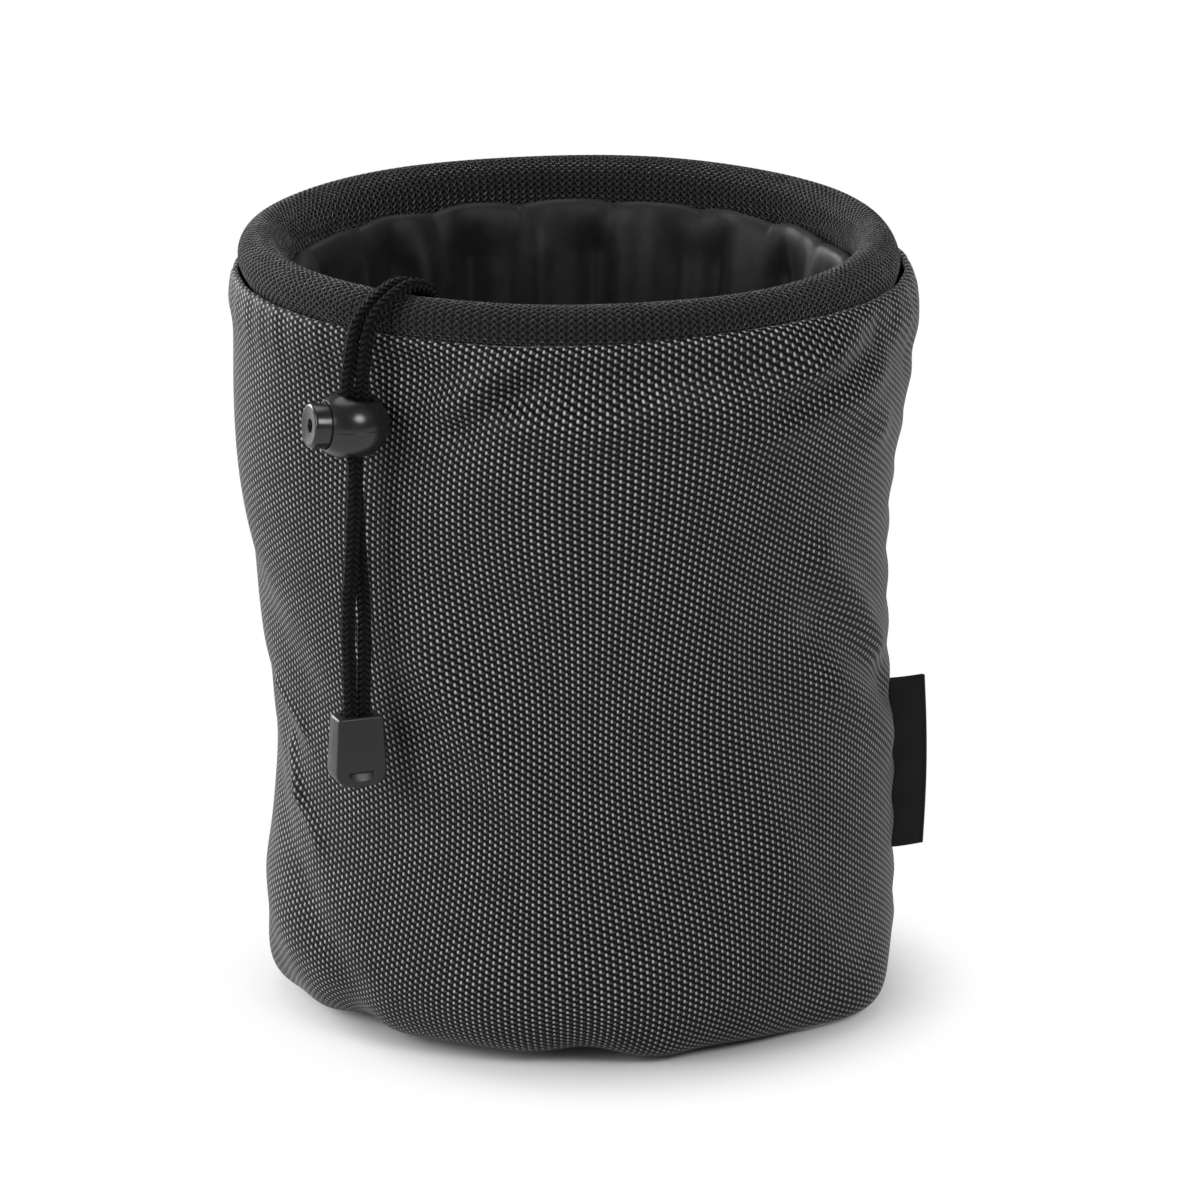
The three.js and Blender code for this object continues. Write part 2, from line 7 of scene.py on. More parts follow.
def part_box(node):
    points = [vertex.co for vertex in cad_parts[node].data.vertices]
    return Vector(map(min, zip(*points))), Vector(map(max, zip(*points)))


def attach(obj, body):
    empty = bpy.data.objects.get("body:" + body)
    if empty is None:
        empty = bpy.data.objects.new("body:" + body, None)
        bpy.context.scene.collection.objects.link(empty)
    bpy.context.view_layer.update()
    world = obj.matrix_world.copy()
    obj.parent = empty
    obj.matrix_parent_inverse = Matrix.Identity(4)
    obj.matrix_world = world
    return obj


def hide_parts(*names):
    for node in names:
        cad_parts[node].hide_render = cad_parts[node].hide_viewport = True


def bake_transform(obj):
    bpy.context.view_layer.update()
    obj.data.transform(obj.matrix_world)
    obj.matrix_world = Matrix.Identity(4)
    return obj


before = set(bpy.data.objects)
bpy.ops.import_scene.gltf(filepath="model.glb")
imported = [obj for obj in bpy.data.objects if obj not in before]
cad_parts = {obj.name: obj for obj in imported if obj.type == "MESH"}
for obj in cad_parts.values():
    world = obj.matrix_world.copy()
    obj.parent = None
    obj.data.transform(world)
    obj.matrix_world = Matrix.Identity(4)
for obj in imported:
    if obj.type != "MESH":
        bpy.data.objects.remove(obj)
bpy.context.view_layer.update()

# A round, soft-sided peg bag with a knit rim, a drawcord, a ball cord lock and a moulded cord end.
# Shapes are worked out in millimetres and turned into metres where a mesh is made. The front is -Y.
# An azimuth is counted from the front towards +X, in degrees.
MM = 0.001


def in_mm(node):
    low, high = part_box(node)
    return np.array(low) / MM, np.array(high) / MM


# Sizes that the frame gives
rim_low, rim_high = in_mm("rim_cover")
RIM_RADIUS = rim_high[0]
RIM_TOP = rim_high[2]
BASE_RADIUS = in_mm("base_panel")[1][0]
LABEL_LOW, LABEL_HIGH = in_mm("side_label")
LOCK_LOW, LOCK_HIGH = in_mm("lock_barrel")
END_LOW = np.minimum(in_mm("cord_end_front")[0], in_mm("cord_end_back")[0])
END_HIGH = np.maximum(in_mm("cord_end_front")[1], in_mm("cord_end_back")[1])
LOCK_HEIGHT = (LOCK_LOW[2] + LOCK_HIGH[2]) / 2
TAIL_X, TAIL_Y = ((END_LOW + END_HIGH) / 2)[:2]
TAIL_RADIUS = np.hypot(TAIL_X, TAIL_Y)

# Wall
FOOT_IN, FOOT_TALL, FOOT_HEIGHT = 10.6, 19, 0.3
BELLY_RADIUS = 73.8
WAIST_HEIGHT, WAIST_DIP, WAIST_SPAN = 60, 2, 34
FLARE_START, SHOULDER_HEIGHT, SHOULDER_RADIUS = 98, 162, 78.6
LOCK_DENT_DEPTH, LOCK_DENT_TALL, LOCK_DENT_WIDE = 4, 25, 18
CLOTH_THICK = 1.0

# Rim roll and throat
ROLL_WIDTH, ROLL_HEIGHT = 10.4, RIM_TOP - rim_low[2]
ROLL_RADIUS = RIM_RADIUS - ROLL_WIDTH / 2
ROLL_CENTRE = RIM_TOP - ROLL_HEIGHT / 2
HEM_RADIUS, HEM_HEIGHT, HEM_OUTSIDE = 57, 126, 2.5
GATHERS, GATHER_DEPTH = 14, 2.2

# Drawcord
CORD_DIAMETER = 3.2
STRAND_SPACING = 3.3
EXIT_AZIMUTH, EXIT_HALF_WIDTH = -29, 8.6
CORD_AZIMUTH = -36.9
TAIL_TURN = 21
BALL_RADIUS, BALL_HALF_LENGTH, BALL_MIDDLE = 7.7, 9, 1.2


def smoothstep(x, low, high):
    t = np.clip((x - low) / (high - low), 0, 1)
    return t * t * (3 - 2 * t)


def bell(x):
    return np.exp(-x * x)


def polar(radius, azimuth, height):
    angle = np.radians(azimuth)
    parts = np.broadcast_arrays(radius * np.sin(angle), -radius * np.cos(angle), height)
    return np.stack(parts, -1).astype(float)


def azimuth_between(a, b):
    return (a - b + 180) % 360 - 180


def spline(points, steps=24):
    """A centripetal Catmull-Rom curve through the points."""
    points = np.asarray(points, float)
    points = np.vstack([2 * points[0] - points[1], points, 2 * points[-1] - points[-2]])
    gaps = np.linalg.norm(np.diff(points, axis=0), axis=1)
    knots = np.concatenate([[0], np.cumsum(gaps ** 0.5)])
    curve = []
    for i in range(1, len(points) - 2):
        at = np.linspace(knots[i], knots[i + 1], steps, endpoint=False)[:, None]
        level = points[i - 1:i + 3]
        for first, reach in ((i - 1, 1), (i - 1, 2), (i, 1)):
            blended = []
            for j, (before, after) in enumerate(zip(level, level[1:]), first):
                share = (at - knots[j]) / (knots[j + reach] - knots[j])
                blended.append(before + (after - before) * share)
            level = blended
        curve.append(level[0])
    return np.vstack([*curve, points[-2:-1]])


def run_of(points):
    """The distance along a line at each of its points."""
    return np.concatenate([[0], np.cumsum(np.linalg.norm(np.diff(points, axis=0), axis=1))])


def evenly(points, spacing):
    run = run_of(points)
    wanted = np.linspace(0, run[-1], max(2, round(run[-1] / spacing) + 1))
    return np.stack([np.interp(wanted, run, column) for column in points.T], -1)


def ring_angles(steps):
    return np.linspace(0, 2 * np.pi, steps, endpoint=False)


def azimuths(columns):
    """Azimuths evenly round the bag, as one row."""
    return np.linspace(0, 360, columns, endpoint=False)[None, :]


def linked(name, data):
    """A new object in the scene."""
    thing = bpy.data.objects.new(name, data)
    bpy.context.scene.collection.objects.link(thing)
    return thing


# Camera
IMAGE_PIXELS = 1200
VIEW_ELEVATION = 16.6
VIEW_DISTANCE = 2000
PIXELS_PER_MM = 4.305
AIM = np.array([0, 0, 88])
AIM_PIXEL = np.array([577.6, 612.9])
SENSOR = 36


def add_camera():
    angle = np.radians(VIEW_ELEVATION)
    right = np.array([1, 0, 0])
    up = np.array([0, np.sin(angle), np.cos(angle)])
    away = np.array([0, -np.cos(angle), np.sin(angle)])
    left_of_middle, below_middle = (IMAGE_PIXELS / 2 - AIM_PIXEL) * (1, -1) / PIXELS_PER_MM
    place = AIM + right * left_of_middle + up * below_middle + away * VIEW_DISTANCE
    data = bpy.data.cameras.new("camera")
    data.sensor_width = SENSOR
    data.lens = PIXELS_PER_MM * VIEW_DISTANCE / IMAGE_PIXELS * SENSOR
    camera = linked("camera", data)
    camera.rotation_euler = Vector(away).to_track_quat("Z", "Y").to_euler()
    camera.location = place * MM
    bpy.context.scene.camera = camera


add_camera()


SHADER_SOCKETS = {
    "roughness": "Roughness",
    "metallic": "Metallic",
    "specular": "Specular IOR Level",
    "sheen": "Sheen Weight",
    "sheen_roughness": "Sheen Roughness",
}
# Most values of a noise lie in this range
NOISE_RANGE = (0.3, 0.7)


class Look:
    """A node material. It starts from a Principled shader with constant values on its sockets."""

    def __init__(self, name, **values):
        self.material = bpy.data.materials.new(name)
        self.material.use_nodes = True
        self.tree = self.material.node_tree
        self.shader = self.tree.nodes["Principled BSDF"]
        for socket, value in values.items():
            self.shader.inputs[SHADER_SOCKETS[socket]].default_value = value

    def add(self, kind, inputs, **settings):
        node = self.tree.nodes.new(kind)
        for name, value in settings.items():
            setattr(node, name, value)
        for socket, value in inputs.items():
            self.put(node.inputs[socket], value)
        return node

    def put(self, socket, value):
        if isinstance(value, bpy.types.NodeSocket):
            self.tree.links.new(value, socket)
        else:
            socket.default_value = value

    def math(self, operation, a, b=0.0):
        return self.add("ShaderNodeMath", {0: a, 1: b}, operation=operation).outputs[0]

    def vector(self, operation, a, b=(0, 0, 0)):
        node = self.add("ShaderNodeVectorMath", {0: a, 1: b}, operation=operation)
        return node.outputs["Value" if operation == "LENGTH" else "Vector"]

    def fade(self, value, low, high, to_low=0.0, to_high=1.0):
        inputs = {"Value": value, 1: low, 2: high, 3: to_low, 4: to_high}
        return self.add("ShaderNodeMapRange", inputs, interpolation_type="SMOOTHSTEP").outputs[0]

    def spread(self, noise, low, high):
        """Noise turned into values from low to high."""
        return self.fade(noise, *NOISE_RANGE, low, high)

    def cloth_place(self):
        """Where a point lies on the flat cloth, in metres."""
        return self.add("ShaderNodeUVMap", {}, uv_map="cloth").outputs[0]

    def place(self):
        return self.add("ShaderNodeTexCoord", {}).outputs["Object"]

    def noise(self, place, size, detail):
        """Noise from 0 to 1 whose lumps are about size millimetres."""
        inputs = {"Vector": place, "Scale": 1 / (size * MM), "Detail": detail}
        return self.add("ShaderNodeTexNoise", inputs).outputs["Fac"]

    def wandering(self, place, size, by):
        """The place moved about by up to half of by, in lumps of size, both in millimetres."""
        inputs = {"Vector": place, "Scale": 1 / (size * MM), "Detail": 1.0}
        lumps = self.add("ShaderNodeTexNoise", inputs).outputs["Color"]
        centred = self.vector("SUBTRACT", lumps, (0.5, 0.5, 0.5))
        return self.vector("ADD", place, self.vector("MULTIPLY", centred, (by * MM, by * MM, 0)))

    def spots(self, place, cell, size, shift=(0, 0)):
        """Distance to the nearest of two interleaved lattices of oval spots, in spot sizes."""
        nearest = None
        for half in (0, 0.5):
            scale = (1 / (cell[0] * MM), 1 / (cell[1] * MM), 0)
            counted = self.vector("MULTIPLY", place, scale)
            moved = self.vector("ADD", counted, (half + shift[0], half + shift[1], 0))
            part = self.vector("SUBTRACT", self.vector("FRACTION", moved), (0.5, 0.5, 0))
            reach = (cell[0] / size[0], cell[1] / size[1], 0)
            away = self.vector("LENGTH", self.vector("MULTIPLY", part, reach))
            nearest = away if nearest is None else self.math("MINIMUM", nearest, away)
        return nearest

    def stitches(self, place, width, pitch, rise, gap):
        """Columns of V stitches: 0 where a leg's cosine is under gap, 1 on its crest."""
        parts = self.add("ShaderNodeSeparateXYZ", {0: place}).outputs
        column = self.math("FRACT", self.math("DIVIDE", parts[0], width * MM))
        beside = self.math("ABSOLUTE", self.math("SUBTRACT", column, 0.5))
        along = self.math("DIVIDE", parts[1], pitch * MM)
        leg = self.math("ADD", along, self.math("MULTIPLY", beside, 2 * rise / pitch))
        crest = self.fade(self.math("COSINE", self.math("MULTIPLY", leg, 2 * np.pi)), gap, 0.7)
        return self.math("MULTIPLY", crest, self.fade(beside, 0.5, 0.2, 0.3, 1.0))

    def mix(self, share, first, second):
        inputs = {"Factor": share, 6: first, 7: second}
        return self.add("ShaderNodeMix", inputs, data_type="RGBA").outputs[2]

    def colour(self, value):
        self.put(self.shader.inputs["Base Color"], value)

    def roughness(self, value):
        self.put(self.shader.inputs["Roughness"], value)

    def mottled(self, noise, shades, roughness):
        """Colour and roughness that follow a noise, each between two values."""
        self.colour(self.mix(noise, grey(shades[0]), grey(shades[1])))
        self.roughness(self.spread(noise, *roughness))

    def plus(self, height, other, share):
        """A height plus a share of another."""
        return self.math("ADD", height, self.math("MULTIPLY", other, share))

    def bump(self, height, depth, strength):
        """Height from 0 to 1, depth in millimetres."""
        inputs = {"Height": height, "Distance": depth * MM, "Strength": strength}
        self.put(self.shader.inputs["Normal"], self.add("ShaderNodeBump", inputs).outputs[0])


def grey(value):
    return (value, value, value, 1)


# Dotted weave: pale yarn shows as interleaved dots between black yarn
COLUMN_PITCH, DOT_PITCH = 1.43, 1.59
WEAVE_CELL = (2 * COLUMN_PITCH, DOT_PITCH)
WEAVE_CELLS_ROUND = 161
CLOTH_GIRTH = WEAVE_CELLS_ROUND * WEAVE_CELL[0]
# The float spots of the black yarn sit to one side of each dot. They are raised in the bump and painted
# grey in the colour as painted sheen.
DOT_SIZE, FLOAT_AND_SHEEN_SIZE, FLOAT_AND_SHEEN_SHIFT = (0.29, 0.43), (0.55, 0.36), (-0.19, 0.19)


def dotted_weave():
    look = Look("dotted_weave", specular=0.1, sheen=0.15, sheen_roughness=0.3)
    place = look.cloth_place()
    dots = look.spots(place, WEAVE_CELL, DOT_SIZE)
    floats_and_painted_sheen = look.spots(place, WEAVE_CELL, FLOAT_AND_SHEEN_SIZE, shift=FLOAT_AND_SHEEN_SHIFT)
    worn = look.noise(place, 9, 4)
    fibres = look.noise(place, 0.28, 3)
    pale = look.mix(look.fade(worn, 0.25, 0.75), grey(0.42), grey(0.58))
    # The black yarn is painted lighter grey on its float spots: painted sheen, not the yarn's own
    # colour.
    black_yarn_with_painted_sheen = look.mix(look.fade(floats_and_painted_sheen, 1.25, 0.2), grey(0.003), grey(0.075))
    share = look.fade(dots, 1.35, 0.4)
    look.colour(look.mix(share, black_yarn_with_painted_sheen, pale))
    look.roughness(look.spread(fibres, 0.45, 0.65))
    raised = look.fade(dots, 1.35, 0.1)
    crossed = look.fade(floats_and_painted_sheen, 1.3, 0.1, 0, 0.75)
    yarn = look.math("MAXIMUM", raised, crossed)
    look.bump(look.plus(yarn, fibres, 0.15), 0.16, 0.75)
    return look.material


def black_lining():
    look = Look("black_lining", specular=0.2)
    place = look.place()
    creases = look.noise(place, 6, 5)
    look.mottled(creases, (0.008, 0.016), (0.45, 0.65))
    look.bump(creases, 0.3, 0.4)
    return look.material


# Knit of the rim: holes in interleaved rows
KNIT_CELL = (2.1, 1.4)
KNIT_HOLE = (0.4, 0.3)
KNIT_RISE = 1.3


def black_knit():
    look = Look("black_knit", specular=0.14, sheen=0.42, sheen_roughness=0.3)
    place = look.wandering(look.cloth_place(), 4, 0.5)
    holes = look.spots(place, KNIT_CELL, KNIT_HOLE)
    fibres = look.noise(place, 0.3, 4)
    legs = look.stitches(place, *KNIT_CELL, KNIT_RISE, gap=-0.6)
    fuzz = look.spread(fibres, 0.6, 1.0)
    # The yarn is painted brighter on the crests of its legs and darker between them, and the holes are
    # painted near black: painted highlight and painted shade.
    painted_crest_light = look.math("MULTIPLY", fuzz, look.fade(legs, 0, 1, 0.25, 1.0))
    yarn = look.mix(painted_crest_light, grey(0.002), grey(0.046))
    look.colour(look.mix(look.fade(holes, 0.7, 1.5), grey(0.001), yarn))
    look.roughness(look.spread(fibres, 0.6, 0.85))
    ridge = look.math("MULTIPLY", look.fade(holes, 0.4, 1.8), look.fade(legs, 0, 1, 0.3, 1.0))
    look.bump(look.plus(ridge, fibres, 0.3), 0.45, 0.9)
    return look.material


# Knit of the cord: columns of V stitches
STITCH_COLUMNS, STITCH_PITCH, STITCH_RISE, STITCH_DEPTH = 4, 1.45, 1.15, 0.5
STITCH_WIDTH = np.pi * CORD_DIAMETER / STITCH_COLUMNS


def black_cord():
    look = Look("black_cord", specular=0.09, sheen=0.04, sheen_roughness=0.4)
    place = look.wandering(look.cloth_place(), 2.5, 0.7)
    fibres = look.noise(place, 0.16, 3)
    legs = look.stitches(place, STITCH_WIDTH, STITCH_PITCH, STITCH_RISE, gap=-0.7)
    # The cord is painted brighter on its stitches' crests and near black in the gaps between them:
    # painted highlight and painted shade.
    painted_crest_light = look.math("MULTIPLY", look.spread(fibres, 0.5, 1.0), legs)
    look.colour(look.mix(painted_crest_light, grey(0.0008), grey(0.019)))
    look.roughness(look.spread(fibres, 0.5, 0.8))
    look.bump(look.plus(legs, fibres, 0.35), 0.3, 0.9)
    return look.material


def black_nylon():
    look = Look("black_nylon", specular=0.22, sheen=0.04)
    place = look.cloth_place()
    threads = look.spots(place, (0.5, 0.25), (0.2, 0.1))
    creases = look.noise(place, 5, 4)
    look.mottled(creases, (0.007, 0.015), (0.38, 0.55))
    look.bump(look.plus(creases, look.fade(threads, 1.4, 0.2), 0.15), 0.3, 0.5)
    return look.material


def black_webbing():
    look = Look("black_webbing", specular=0.15)
    place = look.cloth_place()
    ribs = look.spots(place, (1.6, 0.7), (0.7, 0.32))
    fibres = look.noise(place, 0.2, 3)
    look.colour(look.mix(look.fade(ribs, 1.3, 0.2), grey(0.005), grey(0.02)))
    look.roughness(look.spread(fibres, 0.6, 0.85))
    look.bump(look.fade(ribs, 1.4, 0.1), 0.15, 0.8)
    return look.material


def black_ribbon():
    look = Look("black_ribbon", specular=0.1)
    place = look.cloth_place()
    ribs = look.spots(place, (0.6, 0.3), (0.28, 0.14))
    soft = look.noise(place, 7, 3)
    look.mottled(soft, (0.004, 0.009), (0.36, 0.5))
    look.bump(look.fade(ribs, 1.4, 0.1), 0.05, 0.5)
    return look.material


# The ball's mould parts at its middle
PARTING_WIDTH = 0.3


def black_plastic(name="black_plastic", parted=False):
    look = Look(name, specular=0.5)
    place = look.place()
    grain = look.math("MULTIPLY", look.noise(place, 0.18, 2), 0.08)
    cloud = look.noise(place, 4, 3)
    look.mottled(cloud, (0.009, 0.015), (0.22, 0.28))
    if parted:
        height = look.add("ShaderNodeSeparateXYZ", {0: place}).outputs[2]
        line = look.math("SUBTRACT", height, LOCK_HEIGHT * MM)
        ridge = look.fade(look.math("ABSOLUTE", line), PARTING_WIDTH * MM, 0)
        grain = look.math("ADD", grain, ridge)
    look.bump(grain, 0.1, 0.7)
    return look.material


def parted_plastic():
    return black_plastic("parted_plastic", True)


def grey_plastic():
    look = Look("grey_plastic", specular=0.4)
    place = look.place()
    grain = look.noise(place, 0.22, 3)
    cloud = look.noise(place, 3, 3)
    look.mottled(cloud, (0.0115, 0.0165), (0.35, 0.43))
    look.bump(grain, 0.02, 0.5)
    return look.material


def grey_foam():
    look = Look("grey_foam", specular=0.2, roughness=0.95)
    cells = look.noise(look.place(), 0.6, 4)
    look.colour(look.mix(cells, grey(0.05), grey(0.14)))
    look.bump(cells, 0.4, 0.8)
    return look.material


def spring_steel():
    look = Look("spring_steel", metallic=1.0)
    drawn = look.noise(look.place(), 0.12, 3)
    look.mottled(drawn, (0.45, 0.62), (0.22, 0.4))
    return look.material


LOOKS = {
    make.__name__: make()
    for make in (
        dotted_weave, black_lining, black_knit, black_cord, black_nylon, black_webbing,
        black_ribbon, black_plastic, parted_plastic, grey_plastic, grey_foam, spring_steel,
    )
}


def piece_of(name, mesh, look):
    piece = linked(name, mesh)
    mesh.materials.append(LOOKS[look])
    return piece


def grid_piece(name, look, points, uv, around=False, closed=False):
    """A piece from points [row, column, 3] and cloth places [row, column, 2], in millimetres. With
    around, the last column joins the first; with closed, the last row does. Then uv has one more."""
    rows, columns = points.shape[:2]
    r = np.arange(rows if closed else rows - 1)[:, None, None]
    c = np.arange(columns if around else columns - 1)[None, :, None]
    i = r + np.array([0, 0, 1, 1])
    j = c + np.array([0, 1, 1, 0])
    i, j = np.broadcast_arrays(i, j)
    faces = (i % rows) * columns + j % columns
    mesh = bpy.data.meshes.new(name)
    mesh.from_pydata((points.reshape(-1, 3) * MM).tolist(), [], faces.reshape(-1, 4).tolist())
    layer = mesh.uv_layers.new(name="cloth")
    layer.data.foreach_set("uv", (uv[i, j] * MM).astype(np.float32).ravel())
    mesh.shade_smooth()
    return piece_of(name, mesh, look)


def flat_uv(across, along):
    return np.stack(np.broadcast_arrays(np.asarray(across, float), np.asarray(along, float)), -1)


def thicken(piece, thickness, inside_look=None):
    solid = piece.modifiers.new("thickness", "SOLIDIFY")
    solid.thickness = thickness * MM
    solid.offset = -1
    if inside_look:
        piece.data.materials.append(LOOKS[inside_look])
        solid.material_offset = 1


# Drawcord: each strand leaves the hem, crosses the roll, passes the lock and ends in the cord end
OFF_ROLL = 1.95
cord_radius = CORD_DIAMETER / 2
beside_roll = ROLL_WIDTH / 2 + OFF_ROLL
over_roll = ROLL_HEIGHT / 2 + OFF_ROLL
end_top = END_HIGH[2]

# The pair's way up from the hem and over the roll: the radius, azimuth and height of its middle, and
# the direction in which its strands lie side by side
ROUTE_OVER_ROLL = [
    (HEM_RADIUS - 2.6, -29, HEM_HEIGHT + 16, -29),
    (HEM_RADIUS - 2.08, -29.4, HEM_HEIGHT + 27, -29.4),
    (HEM_RADIUS + 1, -30.4, ROLL_CENTRE - 10, -30.4),
    (ROLL_RADIUS - beside_roll - 0.6, -30.2, ROLL_CENTRE, -30.2),
    (ROLL_RADIUS - beside_roll * 0.74, -31.2, ROLL_CENTRE + over_roll * 0.72, -33),
    (ROLL_RADIUS, -32.6, ROLL_CENTRE + over_roll, -34.4),
    (ROLL_RADIUS + beside_roll * 0.92, -34.2, ROLL_CENTRE + over_roll * 0.72, -30),
    (ROLL_RADIUS + (TAIL_RADIUS - ROLL_RADIUS) * 0.88, -35.5, ROLL_CENTRE + over_roll * 0.2, -20),
    (TAIL_RADIUS, CORD_AZIMUTH + 0.6, ROLL_CENTRE - 7, -6),
]
# Where the pair hangs: height and direction
ROUTE_HANGING = [
    (LOCK_HEIGHT + BALL_RADIUS, 14),
    (LOCK_HEIGHT, 52),
    (LOCK_HEIGHT - BALL_RADIUS, 82),
    (LOCK_HEIGHT - 20, 74),
    (LOCK_HEIGHT - 33, 50),
    (LOCK_HEIGHT - 44, 26),
    (end_top + 16, 16),
    (end_top + 4, TAIL_TURN),
    (end_top - 6.7, TAIL_TURN),
]
PAIR_ROUTE = ROUTE_OVER_ROLL + [(TAIL_RADIUS, CORD_AZIMUTH, *place) for place in ROUTE_HANGING]
# The radius on which a strand turns up out of the hem, its points on that turn, and how far it moves in
CORD_TURN, TURN_PARTS, CORD_INWARD = 6.4, (0.15, 0.55, 1), 2.6
# The strands part a little above the cord end
PARTED_BY, PARTED_ABOVE_END, PARTED_SPAN = 0.7, 23, 13
# How far inside the tail lies a point that add_strands works out, with one at the roll's middle, and
# does not use
BEND_ENDS_INSIDE = 4
# How full a stitch is at its column's edge, how sharp its crest is, and the fullness of a plain cord
STITCH_EDGE, STITCH_SHARP, STITCH_MEAN = 0.3, 0.8, 0.55


def gather(azimuth):
    return GATHER_DEPTH * np.cos(GATHERS * np.radians(azimuth - EXIT_AZIMUTH))


def hem_place(azimuth):
    return polar(HEM_RADIUS + gather(azimuth), azimuth, HEM_HEIGHT)


def strand_path(side):
    exit_at = EXIT_AZIMUTH + side * EXIT_HALF_WIDTH
    along = polar(1, exit_at - side * 90, 0)
    inward = polar(-1, exit_at, 0)
    points = []
    for part in TURN_PARTS:
        angle = part * np.pi / 2
        onward = along * CORD_TURN * np.sin(angle)
        rise = np.array([0, 0, CORD_TURN * (1 - np.cos(angle))])
        points.append(hem_place(exit_at) + onward + inward * CORD_INWARD * part + rise)
    for radius, azimuth, height, direction in PAIR_ROUTE:
        angle = np.radians(direction)
        beside = np.array([np.cos(angle), np.sin(angle), 0])
        parted = PARTED_BY * bell((height - end_top - PARTED_ABOVE_END) / PARTED_SPAN)
        points.append(polar(radius, azimuth, height) + beside * side * (STRAND_SPACING + parted) / 2)
    return evenly(spline(points), 1.0)


def frames_along(path):
    """Directions beside and across a path that don't twist about it."""
    along = np.gradient(path, axis=0)
    along /= np.linalg.norm(along, axis=1)[:, None]
    beside = np.zeros_like(path)
    start = np.cross(along[0], [0.3, 0.2, 1])
    beside[0] = start / np.linalg.norm(start)
    for i in range(1, len(path)):
        kept = beside[i - 1] - along[i] * (beside[i - 1] @ along[i])
        beside[i] = kept / np.linalg.norm(kept)
    return beside, np.cross(along, beside)


def tube(path, sides, radius):
    """Points round a path, [place, side, 3]. The radius is one number, or one for each point."""
    beside, across = frames_along(path)
    angle = ring_angles(sides)[None, :, None]
    out = beside[:, None] * np.cos(angle) + across[:, None] * np.sin(angle)
    return path[:, None] + out * radius


def cord_piece(name, path, sides=42, spacing=0.2, scale=1.0):
    path = evenly(path, spacing)
    run = run_of(path)[:, None]
    column = (ring_angles(sides)[None, :] / (2 * np.pi) * STITCH_COLUMNS) % 1 - 0.5
    leg = run / STITCH_PITCH + np.abs(column) * 2 * STITCH_RISE / STITCH_PITCH
    ridge = 0.5 + 0.5 * np.cos(2 * np.pi * leg)
    across_column = STITCH_EDGE + (1 - STITCH_EDGE) * np.cos(np.pi * column)
    fullness = ridge ** STITCH_SHARP * across_column
    radius = scale * (cord_radius + STITCH_DEPTH * (fullness - STITCH_MEAN))
    points = tube(path, sides, radius[..., None])
    turns = np.arange(sides + 1) / sides * 2 * np.pi * cord_radius
    return grid_piece(name, "black_cord", points, flat_uv(turns[None, :], run), around=True)


def add_strands():
    for side, word in ((-1, "left"), (1, "right")):
        path = strand_path(side)
        strand = cord_piece(f"drawcord_{word}", path)
        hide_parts(f"cord_{word}_over_rim", f"cord_{word}_tail")
        start = polar(ROLL_RADIUS, CORD_AZIMUTH, ROLL_CENTRE) * MM
        end = polar(TAIL_RADIUS - BEND_ENDS_INSIDE, CORD_AZIMUTH, ROLL_CENTRE) * MM
        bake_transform(strand)


add_strands()


# Soft folds on the wall: lines from (azimuth, height) to (azimuth, height), half width and rise
FOLDS = [
    ((-28, 168), (-26, 160), 8, -2.2),
    ((-22, 157), (-11, 167), 4, 2.7),
    ((-19, 152), (-11, 159), 3.8, -2.5),
    ((-11, 160), (8, 161), 3.2, -1.6),
    ((-12, 165), (36, 164), 4.6, -2),
    ((-17, 154), (4, 153), 4, 1.2),
    ((6, 156), (32, 153), 6, 1),
    ((39, 165), (63, 144), 5, 2),
    ((36, 160), (56, 168), 3.8, 1.5),
    ((37, 155), (62, 162), 4, -1.7),
    ((35, 149), (60, 156), 4.6, 1.3),
    ((58, 168), (78, 154), 5, -1.7),
    ((-27, 94), (-10, 65), 6, 1.7),
    ((-14, 108), (18, 52), 13, -2.2),
    ((22, 106), (39, 48), 8, 1.7),
    ((50, 115), (72, 88), 5, 2),
    ((50, 99), (78, 76), 5, -2),
    ((55, 82), (77, 65), 6, 1.8),
    ((42, 36), (58, 7), 8, 1.4),
    ((-75, 98), (-62, 86), 8, -1.2),
    ((-72, 77), (-63, 71), 2, 0.9),
    ((-82, 74), (-70, 67), 5, -1.6),
    ((-70, 63), (-65, 54), 2.2, 1),
    ((-65, 54), (-58, 46), 2.8, 0.8),
    ((-82, 56), (-72, 44), 6, -1),
    ((-84, 28), (-70, 22), 7, 0.9),
    ((-62, 34), (-46, 14), 6, -1.2),
    ((112, 160), (150, 132), 7, 1.4),
    ((128, 128), (160, 88), 10, -1.5),
    ((150, 96), (176, 40), 9, 1.2),
    ((186, 160), (222, 150), 5, -1.2),
    ((196, 120), (232, 66), 12, -1.4),
    ((228, 112), (250, 58), 8, 1.2),
    ((258, 150), (272, 110), 8, -1.0),
]
# Where the foot is lifted off the floor: azimuth, half width and rise
FOOT_LIFTS = [
    (-52, 9, 2.6), (-34, 12, 1.8), (-16, 12, 2), (2, 9, 3.4), (30, 12, 1.2),
    (120, 20, 1.4), (176, 16, 1.2), (236, 22, 1.5),
]
# Where the foot bulges out or draws in: azimuth, half width and how far
FOOT_LOBES = [
    (-84, 9, 3.4), (-48, 6, -2.5), (18, 5, 1.2), (66, 13, 6.4), (140, 16, 2), (222, 18, 2),
]
# How far the bag leans to its right at each height
LEAN = [
    (0, 1.2), (30, 0.9), (58, 1.6), (88, -0.6), (122, -2.7), (160, -0.5), (169, -1.1), (177, -2.2),
    (184, -2.4),
]
lean_curve = spline(LEAN)

